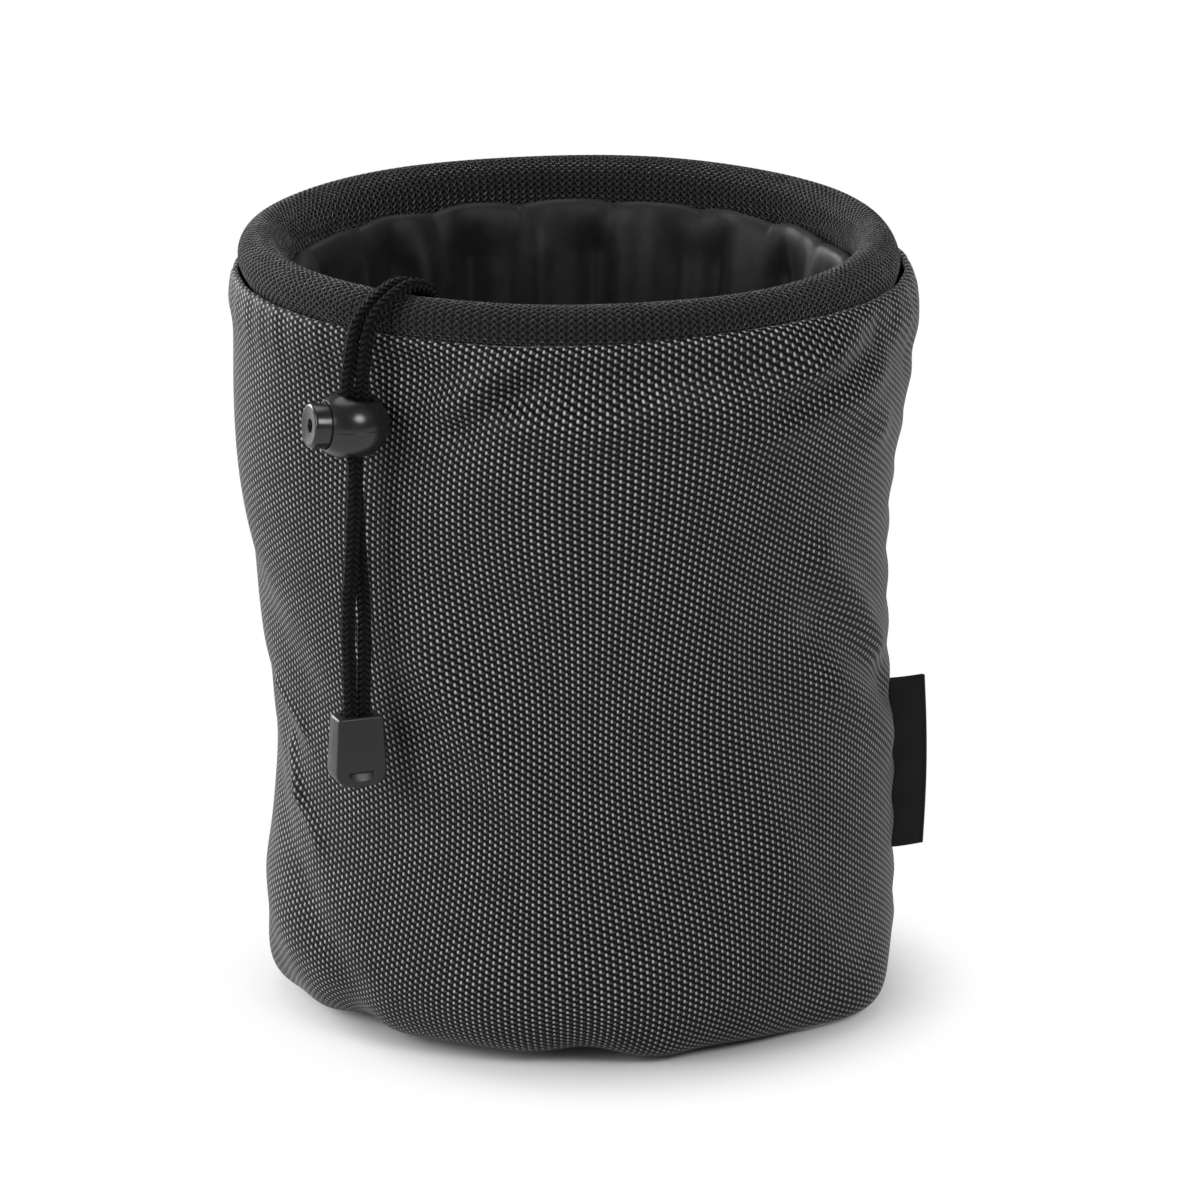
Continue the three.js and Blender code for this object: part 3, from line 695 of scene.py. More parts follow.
# The heights from which and up to which the cloth is free, and how a fold fades past its ends
FREE_FROM, FREE_TO, FOLD_FADE = (3, 18), 165, 1.6
RIPPLE = 0.35
SEAM_AZIMUTH, SEAM_DIP, SEAM_DIP_WIDE = 90, 0.9, 1.1
SEAM_PUCKER, SEAM_PUCKER_WIDE, SEAM_PUCKER_TALL = 0.35, 7, 1.9
EDGE_PUCKER, EDGE_PUCKER_FROM = 0.22, (150, 168)
SHOULDER_FLARE, FLARE_ABOVE, FLARE_SPAN = 0.7, 2, 4
FRONT_TUCK, TUCK_BELOW, TUCK_ABOVE = 0.9, 5, 6
EDGE_RISE, EDGE_RISE_AZIMUTH, EDGE_RISE_SPAN, EDGE_RISE_TALL = 1.8, 30, 34, 8
FOOT_WAVE, FOOT_REACH = 0.4, 20


def wall_side(height):
    flare = smoothstep(height, FLARE_START, SHOULDER_HEIGHT)
    waist = WAIST_DIP * bell((height - WAIST_HEIGHT) / WAIST_SPAN)
    return BELLY_RADIUS + (SHOULDER_RADIUS - BELLY_RADIUS) * flare - waist


def fold(azimuth, height, start, end, width, rise):
    per_degree = np.radians(BELLY_RADIUS)
    run = np.array([(end[0] - start[0]) * per_degree, end[1] - start[1]])
    length = np.hypot(*run)
    x = azimuth_between(azimuth, start[0]) * per_degree
    y = height - start[1]
    along = (x * run[0] + y * run[1]) / length
    beside = (x * run[1] - y * run[0]) / length
    past = np.maximum(np.maximum(-along, along - length), 0)
    return rise * bell(beside / width) * bell(past / (FOLD_FADE * width))


def leaned(points):
    """The bag leans sideways, most at its sides."""
    azimuth = np.arctan2(points[..., 0], -points[..., 1])
    shift = np.interp(points[..., 2], lean_curve[:, 0], lean_curve[:, 1])
    moved = points.copy()
    moved[..., 0] += shift * np.sin(azimuth) ** 2
    return moved


def clear_of_lock(points):
    """Moves points inwards where the lock slides past them."""
    slide_down, slide_up, room = 70, 4, 0.5
    beside = np.hypot(points[..., 0] - TAIL_X, points[..., 1] - TAIL_Y)
    lowest, highest = LOCK_HEIGHT - slide_down, LOCK_HEIGHT + slide_up
    near = np.maximum(np.maximum(lowest - points[..., 2], points[..., 2] - highest), 0)
    short = np.maximum(BALL_HALF_LENGTH - BALL_MIDDLE + room - np.hypot(beside, near), 0)
    radius = np.hypot(points[..., 0], points[..., 1])
    moved = points.copy()
    moved[..., :2] *= (1 - short / np.maximum(radius, 1))[..., None]
    return moved


def bumps(azimuth, rows):
    return sum(by * bell(azimuth_between(azimuth, at) / width) for at, width, by in rows)


def waves(turn, rows):
    """The sum of waves round the bag: how far, how many and where they start."""
    return sum(by * np.sin(times * turn + start) for by, times, start in rows)


def foot_lift(azimuth):
    return bumps(azimuth, FOOT_LIFTS)


def free_cloth(azimuth, height):
    """How far the cloth's folds, ripples and side seam stand out."""
    turn = np.radians(azimuth)
    out = sum(fold(azimuth, height, *line) for line in FOLDS)
    out = out + RIPPLE * np.sin(5 * turn + height / 21) * np.sin(3 * turn - height / 33)
    from_seam = azimuth_between(azimuth, SEAM_AZIMUTH) * np.radians(BELLY_RADIUS)
    out = out - SEAM_DIP * bell(from_seam / SEAM_DIP_WIDE)
    out = out + SEAM_PUCKER * bell(from_seam / SEAM_PUCKER_WIDE) * np.sin(height / SEAM_PUCKER_TALL)
    return out * smoothstep(height, *FREE_FROM) * (1 - smoothstep(height, FREE_TO, ROLL_CENTRE))


def shoulder(azimuth, height):
    """How far the shoulder stands out: puckers at the edge, a flare at the sides, a tuck in front."""
    turn = np.radians(azimuth)
    above = height - SHOULDER_HEIGHT
    puckers = np.sin(46 * turn) * np.sin(17 * turn) * smoothstep(height, *EDGE_PUCKER_FROM)
    flare = np.sin(turn) ** 2 * bell((above - FLARE_ABOVE) / FLARE_SPAN)
    tuck = np.maximum(np.cos(turn), 0) ** 1.5 * smoothstep(above, -TUCK_BELOW, TUCK_ABOVE)
    return EDGE_PUCKER * puckers + SHOULDER_FLARE * flare - FRONT_TUCK * tuck


def wall_surface(azimuth, radius, height):
    turn = np.radians(azimuth)
    across = azimuth_between(azimuth, CORD_AZIMUTH) / LOCK_DENT_WIDE
    below_edge = 1 - smoothstep(height, SHOULDER_HEIGHT, ROLL_CENTRE)
    dent = below_edge * bell(across) * bell((height - LOCK_HEIGHT) / LOCK_DENT_TALL)
    low = 1 - smoothstep(height, 0, FOOT_REACH)
    foot = FOOT_WAVE * np.sin(11 * turn + 0.6) * np.sin(4 * turn) + bumps(azimuth, FOOT_LOBES)
    out = free_cloth(azimuth, height) + shoulder(azimuth, height) - LOCK_DENT_DEPTH * dent + low * foot
    edge_at = bell(azimuth_between(azimuth, EDGE_RISE_AZIMUTH) / EDGE_RISE_SPAN)
    edge_rise = EDGE_RISE * edge_at * smoothstep(height - SHOULDER_HEIGHT, 0, EDGE_RISE_TALL)
    raised = low * foot_lift(azimuth) + edge_rise
    return clear_of_lock(leaned(polar(radius + out, azimuth, height + raised)))


# The wall's top slopes in over its shoulder and turns down into the crease beside the roll
WALL_EDGE = [
    (SHOULDER_RADIUS, ROLL_CENTRE - 7.8),
    (SHOULDER_RADIUS - 0.3, ROLL_CENTRE - 4.4),
    (RIM_RADIUS + 1.7, ROLL_CENTRE - 2.5),
    (RIM_RADIUS + 0.7, ROLL_CENTRE - 2),
    (RIM_RADIUS + 0.1, ROLL_CENTRE - 2.9),
]


def wall_profile():
    """[radius, height] from under the foot up to the roll."""
    foot_top = FOOT_HEIGHT + FOOT_TALL
    angle = np.radians(np.linspace(270, 360, 30))
    foot_radius = wall_side(foot_top) - FOOT_IN * (1 - np.cos(angle))
    foot = np.stack([foot_radius, foot_top + FOOT_TALL * np.sin(angle)], -1)
    height = np.linspace(foot_top + 1, SHOULDER_HEIGHT - 2, 90)
    side = np.stack([wall_side(height), height], -1)
    edge = spline([side[-1], *WALL_EDGE], 12)
    return evenly(np.vstack([[(BASE_RADIUS + 0.3, FOOT_HEIGHT)], foot, side, edge]), 1.0)


# How the weave drifts round the wall: how far, how many waves and how tall one is
WEAVE_DRIFTS = [(1.6, 2, 24), (1.1, 5, -17)]


def add_wall():
    sag_by, sag_tall = 0.9, 40
    profile = wall_profile()
    columns = 460
    points = wall_surface(azimuths(columns) + SEAM_AZIMUTH, profile[:, :1], profile[:, 1:])
    turn = np.linspace(0, 2 * np.pi, columns + 1)[None, :]
    run = run_of(profile)[:, None]
    drift = sum(by * np.sin(times * turn + run / tall) for by, times, tall in WEAVE_DRIFTS)
    sag = sag_by * np.sin(3 * turn + 0.5) * np.sin(run / sag_tall)
    uv = flat_uv(CLOTH_GIRTH * turn / (2 * np.pi) + drift, run + sag)
    wall = grid_piece("wall_cloth", "dotted_weave", points, uv, around=True)
    thicken(wall, CLOTH_THICK, "black_lining")
    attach(wall, "bag")
    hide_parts("wall_panel")


def add_base():
    height, thick = 1.15, 1.0
    wave_rise, wave_radius, wave_span = 0.3, 20, 15
    pucker_rise, puckers, pucker_from, lift_from = 0.175, 24, 9, 14
    columns = 120
    radius = np.linspace(0.5, BASE_RADIUS + 0.2, 50)[:, None]
    azimuth = azimuths(columns)
    turn = np.radians(azimuth)
    from_edge = radius - BASE_RADIUS
    drawn = smoothstep(from_edge, -pucker_from, -1)
    pucker = pucker_rise * np.abs(np.sin(puckers * turn)) * drawn
    wave = wave_rise * bell((radius - wave_radius) / wave_span) * np.sin(3 * turn)
    lift = smoothstep(from_edge, -lift_from, 0) * foot_lift(azimuth)
    points = polar(radius, azimuth, height + wave - pucker + lift)
    uv = points[:, np.r_[0:columns, 0], :2]
    base = grid_piece("base_cloth", "dotted_weave", points[:, ::-1], uv[:, ::-1], around=True)
    thicken(base, -thick)
    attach(base, "bag")
    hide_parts("base_panel")


def add_tapes():
    """The tapes inside: a ring over the base seam and a strip over the side seam."""
    width, thick, off_wall, half_turn = 7, 0.7, 0.5, 3.9
    ripple_rise, ripples = 0.15, 40
    columns, rows = 240, 12
    outside, _, top = in_mm("base_binding")[1]
    radius = np.linspace(outside - width, outside, rows)[:, None]
    azimuth = azimuths(columns)
    across = np.linspace(-1, 1, rows)[:, None]
    ripple = ripple_rise * np.sin(ripples * np.radians(azimuth)) * across
    points = polar(radius, azimuth, top + ripple + foot_lift(azimuth))
    uv = flat_uv(np.linspace(0, 2 * np.pi * outside, columns + 1)[None, :], radius)
    ring = grid_piece("base_tape", "black_webbing", points[::-1], uv[::-1], around=True)
    thicken(ring, thick)
    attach(ring, "bag")
    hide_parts("base_binding")
    low, high = in_mm("side_seam_binding")
    height = np.linspace(low[2], high[2], 90)[:, None]
    azimuth = SEAM_AZIMUTH + np.linspace(-half_turn, half_turn, rows)[None, :]
    points = wall_surface(azimuth, wall_side(height) - CLOTH_THICK - off_wall, height)
    uv = flat_uv(height, azimuth * np.radians(BELLY_RADIUS))
    strip = grid_piece("seam_tape", "black_webbing", points, uv)
    thicken(strip, thick)
    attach(strip, "bag")
    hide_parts("side_seam_binding")


def add_label():
    """One ribbon folded on itself, sewn into the side seam with its fold outwards."""
    half, thick, sewn_in, past = 0.8, 0.35, 0.6, 0.4
    bend_by, bend_power, belly_by, hollow, droop = 4.5, 1.4, 0.6, 0.7, 0.4
    at_seam, parted_at = 0.3, 0.25
    height = np.linspace(LABEL_LOW[2], LABEL_HIGH[2], 64)[:, None]
    out = np.linspace(0, 1, 16)
    parted = smoothstep(out, 0, parted_at)
    open_by = half * (at_seam + (1 - at_seam) * parted)
    turn = np.radians(np.linspace(-90, 90, 9)[1:-1])
    share = np.concatenate([out, np.ones_like(turn), out[::-1]])
    beyond = np.concatenate([0 * out, half * np.cos(turn), 0 * out])
    beside = np.concatenate([-open_by, half * np.sin(turn), open_by[::-1]])
    start = wall_surface(SEAM_AZIMUTH, wall_side(height), height)[..., 0] - sewn_in
    reach = LABEL_HIGH[0] + past - half - start
    belly = np.sin(np.pi * (height - LABEL_LOW[2]) / np.ptp(height))
    bend = bend_by * share ** bend_power + belly_by * belly * share
    out_by = start + (reach - hollow + hollow * belly) * share + beyond
    points = np.stack(np.broadcast_arrays(out_by, beside + bend, height - droop * share), -1)
    width = 2 * np.hypot(reach.mean(), bend_by) + np.pi * half
    uv = flat_uv(np.linspace(0, width, len(share))[None, :], height)
    label = grid_piece("label_ribbon", "black_ribbon", points, uv)
    thicken(label, thick)
    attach(label, "bag")
    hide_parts("side_label")


def spot_distance(across, along, cell, size):
    """Distance to the nearest of two interleaved lattices of oval spots, in spot sizes."""
    ways = []
    for half in (0, 0.5):
        x = ((across / cell[0] + half) % 1 - 0.5) * cell[0] / size[0]
        y = ((along / cell[1] + half) % 1 - 0.5) * cell[1] / size[1]
        ways.append(np.hypot(x, y))
    return np.minimum(*ways)


# Rim roll: its stitches, the dents at their holes, its plump places and where the cord presses it
KNIT_CELLS_ROUND = round(2 * np.pi * (ROLL_RADIUS + 3) / KNIT_CELL[0])
KNIT_CELLS_OVER = round(np.pi * (ROLL_WIDTH + ROLL_HEIGHT) / 2 / KNIT_CELL[1])
KNIT_DENT, DENT_REACH = 0.42, (0.3, 1.7)
ROLL_WAVES = [(0.02, 3, 1), (0.015, 7, 0)]
PRESS_SHARE, PRESS_AZIMUTH, PRESS_SPAN = 0.05, -32.6, 7
ROLL_UNDERCUT = 0.4
CORE_INSET, CORE_GIRTH, CORE_ROUND = 1.2, 440, 30


def roll_surface(azimuth, angle, inset):
    pressed = PRESS_SHARE * bell(azimuth_between(azimuth, PRESS_AZIMUTH) / PRESS_SPAN)
    plump = 1 + waves(np.radians(azimuth), ROLL_WAVES) - pressed
    out = (ROLL_WIDTH / 2 - inset) * plump
    up = (ROLL_HEIGHT / 2 - inset) * plump
    under = smoothstep(-np.sin(angle), 0, 0.5) * np.maximum(np.cos(angle), 0)
    radius = ROLL_RADIUS + out * np.cos(angle) - ROLL_UNDERCUT * under
    return leaned(polar(radius, azimuth, ROLL_CENTRE + up * np.sin(angle)))


def add_rim():
    columns, rows = 1344, 100
    across = np.linspace(0, KNIT_CELLS_ROUND * KNIT_CELL[0], columns + 1)[None, :]
    along = np.linspace(0, KNIT_CELLS_OVER * KNIT_CELL[1], rows + 1)[:, None]
    holes = spot_distance(across, along, KNIT_CELL, KNIT_HOLE)[:-1, :-1]
    inset = KNIT_DENT * (1 - smoothstep(holes, *DENT_REACH))
    points = roll_surface(azimuths(columns), ring_angles(rows)[:, None], inset)
    cloth = flat_uv(across, along)
    cover = grid_piece("rim_knit", "black_knit", points, cloth, around=True, closed=True)
    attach(cover, "bag")
    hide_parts("rim_cover")
    columns, rows = 180, 24
    points = roll_surface(azimuths(columns), ring_angles(rows)[:, None], CORE_INSET)
    along = np.linspace(0, CORE_ROUND, rows + 1)[:, None]
    cloth = flat_uv(np.linspace(0, CORE_GIRTH, columns + 1)[None, :], along)
    core = grid_piece("rim_foam", "grey_foam", points, cloth, around=True, closed=True)
    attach(core, "bag")
    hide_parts("rim_core")


# Throat: its line from the hem up to the roll, its pleats, and the lobes that puff up beside the roll
THROAT_LINE = [(57, 128.8), (58.2, 143), (59.4, 157), (60.8, 166.4), (63.4, 169.6), (66.9, 168.6)]
THROAT_CUT_RADIUS, NYLON_THICK = 72, 0.35
PLEAT_WAVES = [(0.3, 37, 1.3), (0.25, 23, 0)]


def clear_of_cord(points, paths):
    """Moves points outwards where they come too near the strands."""
    room, middle, reach = 0.9, EXIT_AZIMUTH - 3, 22
    flat = points.reshape(-1, 3).copy()
    azimuth = np.degrees(np.arctan2(flat[:, 0], -flat[:, 1]))
    near = np.where(np.abs(azimuth_between(azimuth, middle)) < reach)[0]
    path = np.vstack(paths)
    for _ in range(3):
        away = np.linalg.norm(flat[near, None] - path[None], axis=2).min(1)
        short = np.maximum(cord_radius + room - away, 0)
        radius = np.hypot(flat[near, 0], flat[near, 1])
        flat[near, :2] *= (1 + short / radius)[:, None]
    return flat.reshape(points.shape)


def add_hem():
    """The sleeve at the throat's lower edge, and the cord that runs in it."""
    pucker_rise, pucker_long = 0.16, 0.55
    hem_at = np.linspace(EXIT_AZIMUTH + EXIT_HALF_WIDTH, EXIT_AZIMUTH + 360 - EXIT_HALF_WIDTH, 720)
    path = hem_place(hem_at)
    sides = 24
    run = run_of(path)[:, None]
    inside = 0.5 + 0.5 * np.cos(ring_angles(sides)[None, :] + 1)
    puckers = pucker_rise * np.sin(run / pucker_long) * inside
    points = tube(path, sides, (HEM_OUTSIDE + puckers)[..., None])
    uv = flat_uv(run, np.linspace(0, 2 * np.pi * HEM_OUTSIDE, sides + 1)[None, :])
    hem = grid_piece("throat_sleeve", "black_nylon", points, uv, around=True)
    thicken(hem, NYLON_THICK)
    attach(hem, "bag")
    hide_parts("throat_hem")
    loop = cord_piece("drawcord_in_sleeve", path, sides=24, spacing=0.4)
    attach(loop, "bag")
    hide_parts("drawcord_loop")
    return hem


def add_throat():
    hangs_below, pleats_end, top_share = (158, 168), (64, 66.5), 0.35
    lobes, first_lobe, roundness = 9, -7, 0.6
    puff_radius, puff_span, puff_in, puff_up = 62.6, 2.6, 0.9, 1.8
    line = evenly(spline(THROAT_LINE), 1.0)
    columns = 420
    azimuth = azimuths(columns)
    turn = np.radians(azimuth)
    radius, height = line[:, :1], line[:, 1:]
    hang = 1 - smoothstep(height, *hangs_below)
    pleats = gather(azimuth) + GATHER_DEPTH * waves(turn, PLEAT_WAVES)
    out = pleats * (top_share + (1 - top_share) * hang)
    out = out * (1 - smoothstep(radius, *pleats_end))
    lobe = np.abs(np.sin(lobes * np.radians(azimuth - first_lobe))) ** roundness
    puff = bell((radius - puff_radius) / puff_span) * (1 - hang) * lobe
    points = leaned(polar(radius + out - puff_in * puff, azimuth, height + puff_up * puff))
    points = clear_of_cord(points, [strand_path(-1), strand_path(1)])
    girth = 2 * np.pi * THROAT_CUT_RADIUS
    uv = flat_uv(np.linspace(0, girth, columns + 1)[None, :], run_of(line)[:, None])
    throat = grid_piece("throat_cloth", "black_nylon", points, uv, around=True)
    thicken(throat, NYLON_THICK)
    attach(throat, "bag")
    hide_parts("throat_skirt")
    hem = add_hem()


def face_out(shape):
    """Turns the faces of a closed mesh outwards."""
    bmesh.ops.recalc_face_normals(shape, faces=shape.faces)
    if shape.calc_volume(signed=True) < 0:
        bmesh.ops.reverse_faces(shape, faces=shape.faces)


def lathe(outline):
    """A closed mesh turned about X from [x, radius] points that start and end on the axis."""
    steps = 72
    shape = bmesh.new()
    rings = []
    for x, radius in outline:
        angles = [2 * np.pi * i / steps for i in range(steps if radius > 0 else 1)]
        rings.append([shape.verts.new((x, radius * np.cos(a), radius * np.sin(a))) for a in angles])
    for ring, after in zip(rings, rings[1:]):
        for i in range(steps):
            near = [ring[k % len(ring)] for k in (i, i + 1)]
            far = [after[k % len(after)] for k in (i + 1, i)]
            shape.faces.new(list(dict.fromkeys(near + far)))
    face_out(shape)
    return shape


def prism(outlines, levels):
    """A closed mesh from one outline of [x, z] points at each level of Y."""
    shape = bmesh.new()
    rings = []
    for outline, y in zip(outlines, levels):
        rings.append([shape.verts.new((x, y, z)) for x, z in outline])
    for ring, after in zip(rings, rings[1:]):
        for i in range(len(ring)):
            k = (i + 1) % len(ring)
            shape.faces.new((ring[i], ring[k], after[k], after[i]))
    shape.faces.new(rings[0])
    shape.faces.new(rings[-1])
    face_out(shape)
    return shape


def mesh_of(shape, name):
    mesh = bpy.data.meshes.new(name)
    shape.to_mesh(mesh)
    shape.free()
    return mesh


def carved(shape, cutters):
    """The shape less each cutter, as a mesh."""
    whole = linked("whole", mesh_of(shape, "whole"))
    used = [whole]
    for cutter in cutters:
        tool = linked("cutter", mesh_of(cutter, "cutter"))
        cut = whole.modifiers.new("cut", "BOOLEAN")
        cut.object = tool
        cut.solver = "EXACT"
        used.append(tool)
    bpy.context.view_layer.update()
    depsgraph = bpy.context.evaluated_depsgraph_get()
    mesh = bpy.data.meshes.new_from_object(whole.evaluated_get(depsgraph))
    for thing in used:
        bpy.data.objects.remove(thing)
    return mesh


def placed(place, turn, tilt=0):
    """The way from a piece's own frame to the bag's: tilted about Y, turned about Z and moved."""
    turned = Matrix.Rotation(np.radians(turn), 4, "Z") @ Matrix.Rotation(np.radians(-tilt), 4, "Y")
    return Matrix.Translation(place) @ turned


# Edges of the moulded pieces that are sharper than this angle are rounded by this width
EDGE_ANGLE, EDGE_ROUND = 38, 0.12


def moulded_piece(name, mesh, look, place, crease=EDGE_ANGLE):
    """A hard piece with softened edges, from a mesh in its own frame in millimetres."""
    mesh.transform(Matrix.Scale(MM, 4) @ place)
    mesh.shade_smooth()
    mesh.set_sharp_from_angle(angle=np.radians(crease))
    mesh.materials.clear()
    piece = piece_of(name, mesh, look)
    rounding = piece.modifiers.new("edges", "BEVEL")
    rounding.width = EDGE_ROUND * MM
    rounding.segments = 2
    rounding.limit_method = "ANGLE"
    rounding.angle_limit = np.radians(EDGE_ANGLE)
    rounding.harden_normals = True
    return piece


def arc(centre, radius, from_degrees, to_degrees, steps):
    angle = np.radians(np.linspace(from_degrees, to_degrees, steps + 1))
    return [(centre[0] + radius * np.cos(a), centre[1] + radius * np.sin(a)) for a in angle]


# Cord lock, in its own frame: X runs out of the button, Z along the strands, the ball at the origin
BARREL_MOUTH = 7.2
BUTTON_RADIUS, BUTTON_FACE, BUTTON_EDGE, BUTTON_TRAVEL = 5.1, 11.2, 0.8, 1.5
DISH_DEPTH, DIMPLE_DEPTH, DIMPLE_RADIUS, DIMPLE_TAPER = 0.45, 1.9, 1.6, 0.4
STEM_RADIUS, STEM_END, STEM_CHAMFER = 4.7, -4.15, 2
PASSAGE_RADIUS, PASSAGE_OFFSET, PASSAGE_REACH = 4.1, 0.3, 9
PASSAGE_FLARE, PASSAGE_FLARE_FROM = 0.3, 2
LOCK_TILT = 5
FIT = 0.3
SPRING_RADIUS, SPRING_WIRE, SPRING_TURNS, SPRING_POCKET = 1.5, 0.4, 1.75, -6.9


def passage(travel):
    """A cutter for the strands' way through the lock, longer where the button travels."""
    levels = np.linspace(-PASSAGE_REACH, PASSAGE_REACH, 19)
    outlines = []
    for level in levels:
        flare = smoothstep(abs(level), PASSAGE_FLARE_FROM, BALL_RADIUS)
        radius = PASSAGE_RADIUS + PASSAGE_FLARE * flare
        if travel:
            outline = arc((travel + PASSAGE_OFFSET, 0), radius, -90, 90, 20)
            outline += arc((PASSAGE_OFFSET, 0), radius, 90, 270, 20)
        else:
            outline = arc((PASSAGE_OFFSET, 0), radius, 0, 360, 40)[:-1]
        outlines.append(outline)
    cutter = prism(outlines, levels)
    cutter.transform(Matrix.Rotation(np.radians(90), 4, "X"))
    return cutter


def add_spring(place):
    """A coil from the ball's pocket to the button's stem, as it stands with the button out."""
    start = SPRING_POCKET + SPRING_WIRE
    end = STEM_END - SPRING_WIRE
    part = np.linspace(0, 1, 90)
    angle = 2 * np.pi * SPRING_TURNS * part
    x = start + (end - start) * part
    coil = np.stack([x, SPRING_RADIUS * np.cos(angle), SPRING_RADIUS * np.sin(angle)], -1)
    sides = 12
    wire = tube(coil, sides, SPRING_WIRE / 2)
    points = wire @ np.array(place.to_3x3()).T + np.array(place.translation)
    turns = np.arange(sides + 1) / sides * np.pi * SPRING_WIRE
    uv = flat_uv(turns[None, :], run_of(coil)[:, None])
    spring = grid_piece("lock_coil", "spring_steel", points, uv, around=True)
    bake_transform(spring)
    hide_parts("lock_spring")


def add_lock():
    turn = TAIL_TURN + 180
    shift = Matrix.Rotation(np.radians(turn), 3, "Z") @ Vector((-PASSAGE_OFFSET, 0, 0))
    place = placed(Vector((TAIL_X, TAIL_Y, LOCK_HEIGHT)) + shift, turn, LOCK_TILT)
    head_start = BARREL_MOUTH - FIT * 2
    recess_end = head_start - BUTTON_TRAVEL - FIT
    bore_end = STEM_END - BUTTON_TRAVEL - FIT
    pocket_radius = SPRING_RADIUS + SPRING_WIRE / 2 + FIT
    closed_end = BALL_MIDDLE - BALL_HALF_LENGTH
    angle = np.linspace(np.pi, np.arccos((BARREL_MOUTH - BALL_MIDDLE) / BALL_HALF_LENGTH), 48)[1:]
    oval = zip(BALL_MIDDLE + BALL_HALF_LENGTH * np.cos(angle), BALL_RADIUS * np.sin(angle))
    outline = [(closed_end, 0), *oval, (BARREL_MOUTH, 0)]
    bore = [
        (SPRING_POCKET, 0),
        (SPRING_POCKET, pocket_radius),
        (bore_end, pocket_radius),
        (bore_end, STEM_RADIUS + FIT - STEM_CHAMFER),
        (bore_end + STEM_CHAMFER, STEM_RADIUS + FIT),
        (recess_end, STEM_RADIUS + FIT),
        (recess_end, BUTTON_RADIUS + FIT),
        (BUTTON_FACE, BUTTON_RADIUS + FIT),
        (BUTTON_FACE, 0),
    ]
    ball_mesh = carved(lathe(outline), [lathe(bore), passage(0)])
    barrel = moulded_piece("lock_ball", ball_mesh, "parted_plastic", place)
    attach(barrel, "cord_lock")
    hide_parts("lock_barrel")
    dish = np.linspace(BUTTON_RADIUS - BUTTON_EDGE, DIMPLE_RADIUS, 10)
    plunger_outline = [
        (STEM_END, 0),
        (STEM_END, STEM_RADIUS - STEM_CHAMFER),
        (STEM_END + STEM_CHAMFER, STEM_RADIUS),
        (head_start, STEM_RADIUS),
        (head_start, BUTTON_RADIUS),
        *arc((BUTTON_FACE - BUTTON_EDGE, BUTTON_RADIUS - BUTTON_EDGE), BUTTON_EDGE, 90, 0, 8),
        *zip(BUTTON_FACE - DISH_DEPTH * (1 - (dish / dish[0]) ** 2), dish),
        (BUTTON_FACE - DIMPLE_DEPTH, DIMPLE_RADIUS - DIMPLE_TAPER),
        (BUTTON_FACE - DIMPLE_DEPTH, 0),
    ]
    button_mesh = carved(lathe(plunger_outline), [passage(BUTTON_TRAVEL)])
    button = moulded_piece("lock_button", button_mesh, "black_plastic", place)
    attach(button, "lock_button")
    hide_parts("lock_plunger")
    add_spring(place)


# Cord end, in its own frame: X across, Y to the back, Z up
END_TOP_WIDTH, END_BOTTOM_WIDTH, END_DEPTH, END_SWELL = 10.8, 12.2, 6, 0.25
END_CORNER, END_TOP_CORNER, END_EDGE, HALF_GAP, END_CREASE = 3.6, 0.8, 0.5, 0.02, 22
THUMB_WIDE, THUMB_TALL, THUMB_DEPTH, THUMB_SQUARE, THUMB_TOP = 3.2, 1.9, 0.95, 2.1, 3.5
CHANNEL_X, CHANNEL_Y, CHANNEL_DEEP, KNOT_ROOM_Y = 3.45, 1.8, 7, 1.9


def end_outline(inset):
    """The outline less an inset that is larger towards the bottom, where the edges are rounder."""
    low, high = END_LOW[2] + inset * 2.2, END_HIGH[2] - inset
    top = END_TOP_WIDTH / 2 - inset - END_TOP_CORNER
    corner = END_CORNER - inset * 0.5
    bottom = END_BOTTOM_WIDTH / 2 - inset * 2 - corner
    outline = arc((-top, high - END_TOP_CORNER), END_TOP_CORNER, 90, 176, 5)
    outline += arc((-bottom, low + corner), corner, 184, 270, 10)
    outline += arc((bottom, low + corner), corner, 270, 356, 10)
    outline += arc((top, high - END_TOP_CORNER), END_TOP_CORNER, 4, 90, 5)
    return outline


def end_swell(height):
    """How much deeper the cord end is at a height than at its top."""
    return 1 + END_SWELL * (END_HIGH[2] - height) / (END_HIGH[2] - END_LOW[2])


def thumb_nick():
    """A cutter for the half-moon nick in the front, which slopes in from its arc to a straight top."""
    top = END_LOW[2] + THUMB_TOP
    face = -END_DEPTH / 2 * end_swell(top)
    outside = 0.6
    nearly_all = 0.99
    before = face - THUMB_DEPTH * outside
    across = np.linspace(-THUMB_WIDE, THUMB_WIDE, 49)
    outlines = []
    for x in across:
        from_middle = min(abs(x) / THUMB_WIDE, nearly_all)
        share = (1 - from_middle ** THUMB_SQUARE) ** (1 / THUMB_SQUARE)
        back = (face + THUMB_DEPTH * share, top)
        above = (before, top)
        below = (before, top - THUMB_TALL * (share + outside))
        outlines.append([back, above, below])
    cutter = prism(outlines, across)
    for point in cutter.verts:
        point.co.x, point.co.y = point.co.y, point.co.x
    face_out(cutter)
    return cutter


def block(low, high):
    outline = [(low[0], low[2]), (high[0], low[2]), (high[0], high[2]), (low[0], high[2])]
    return prism([outline, outline], [low[1], high[1]])


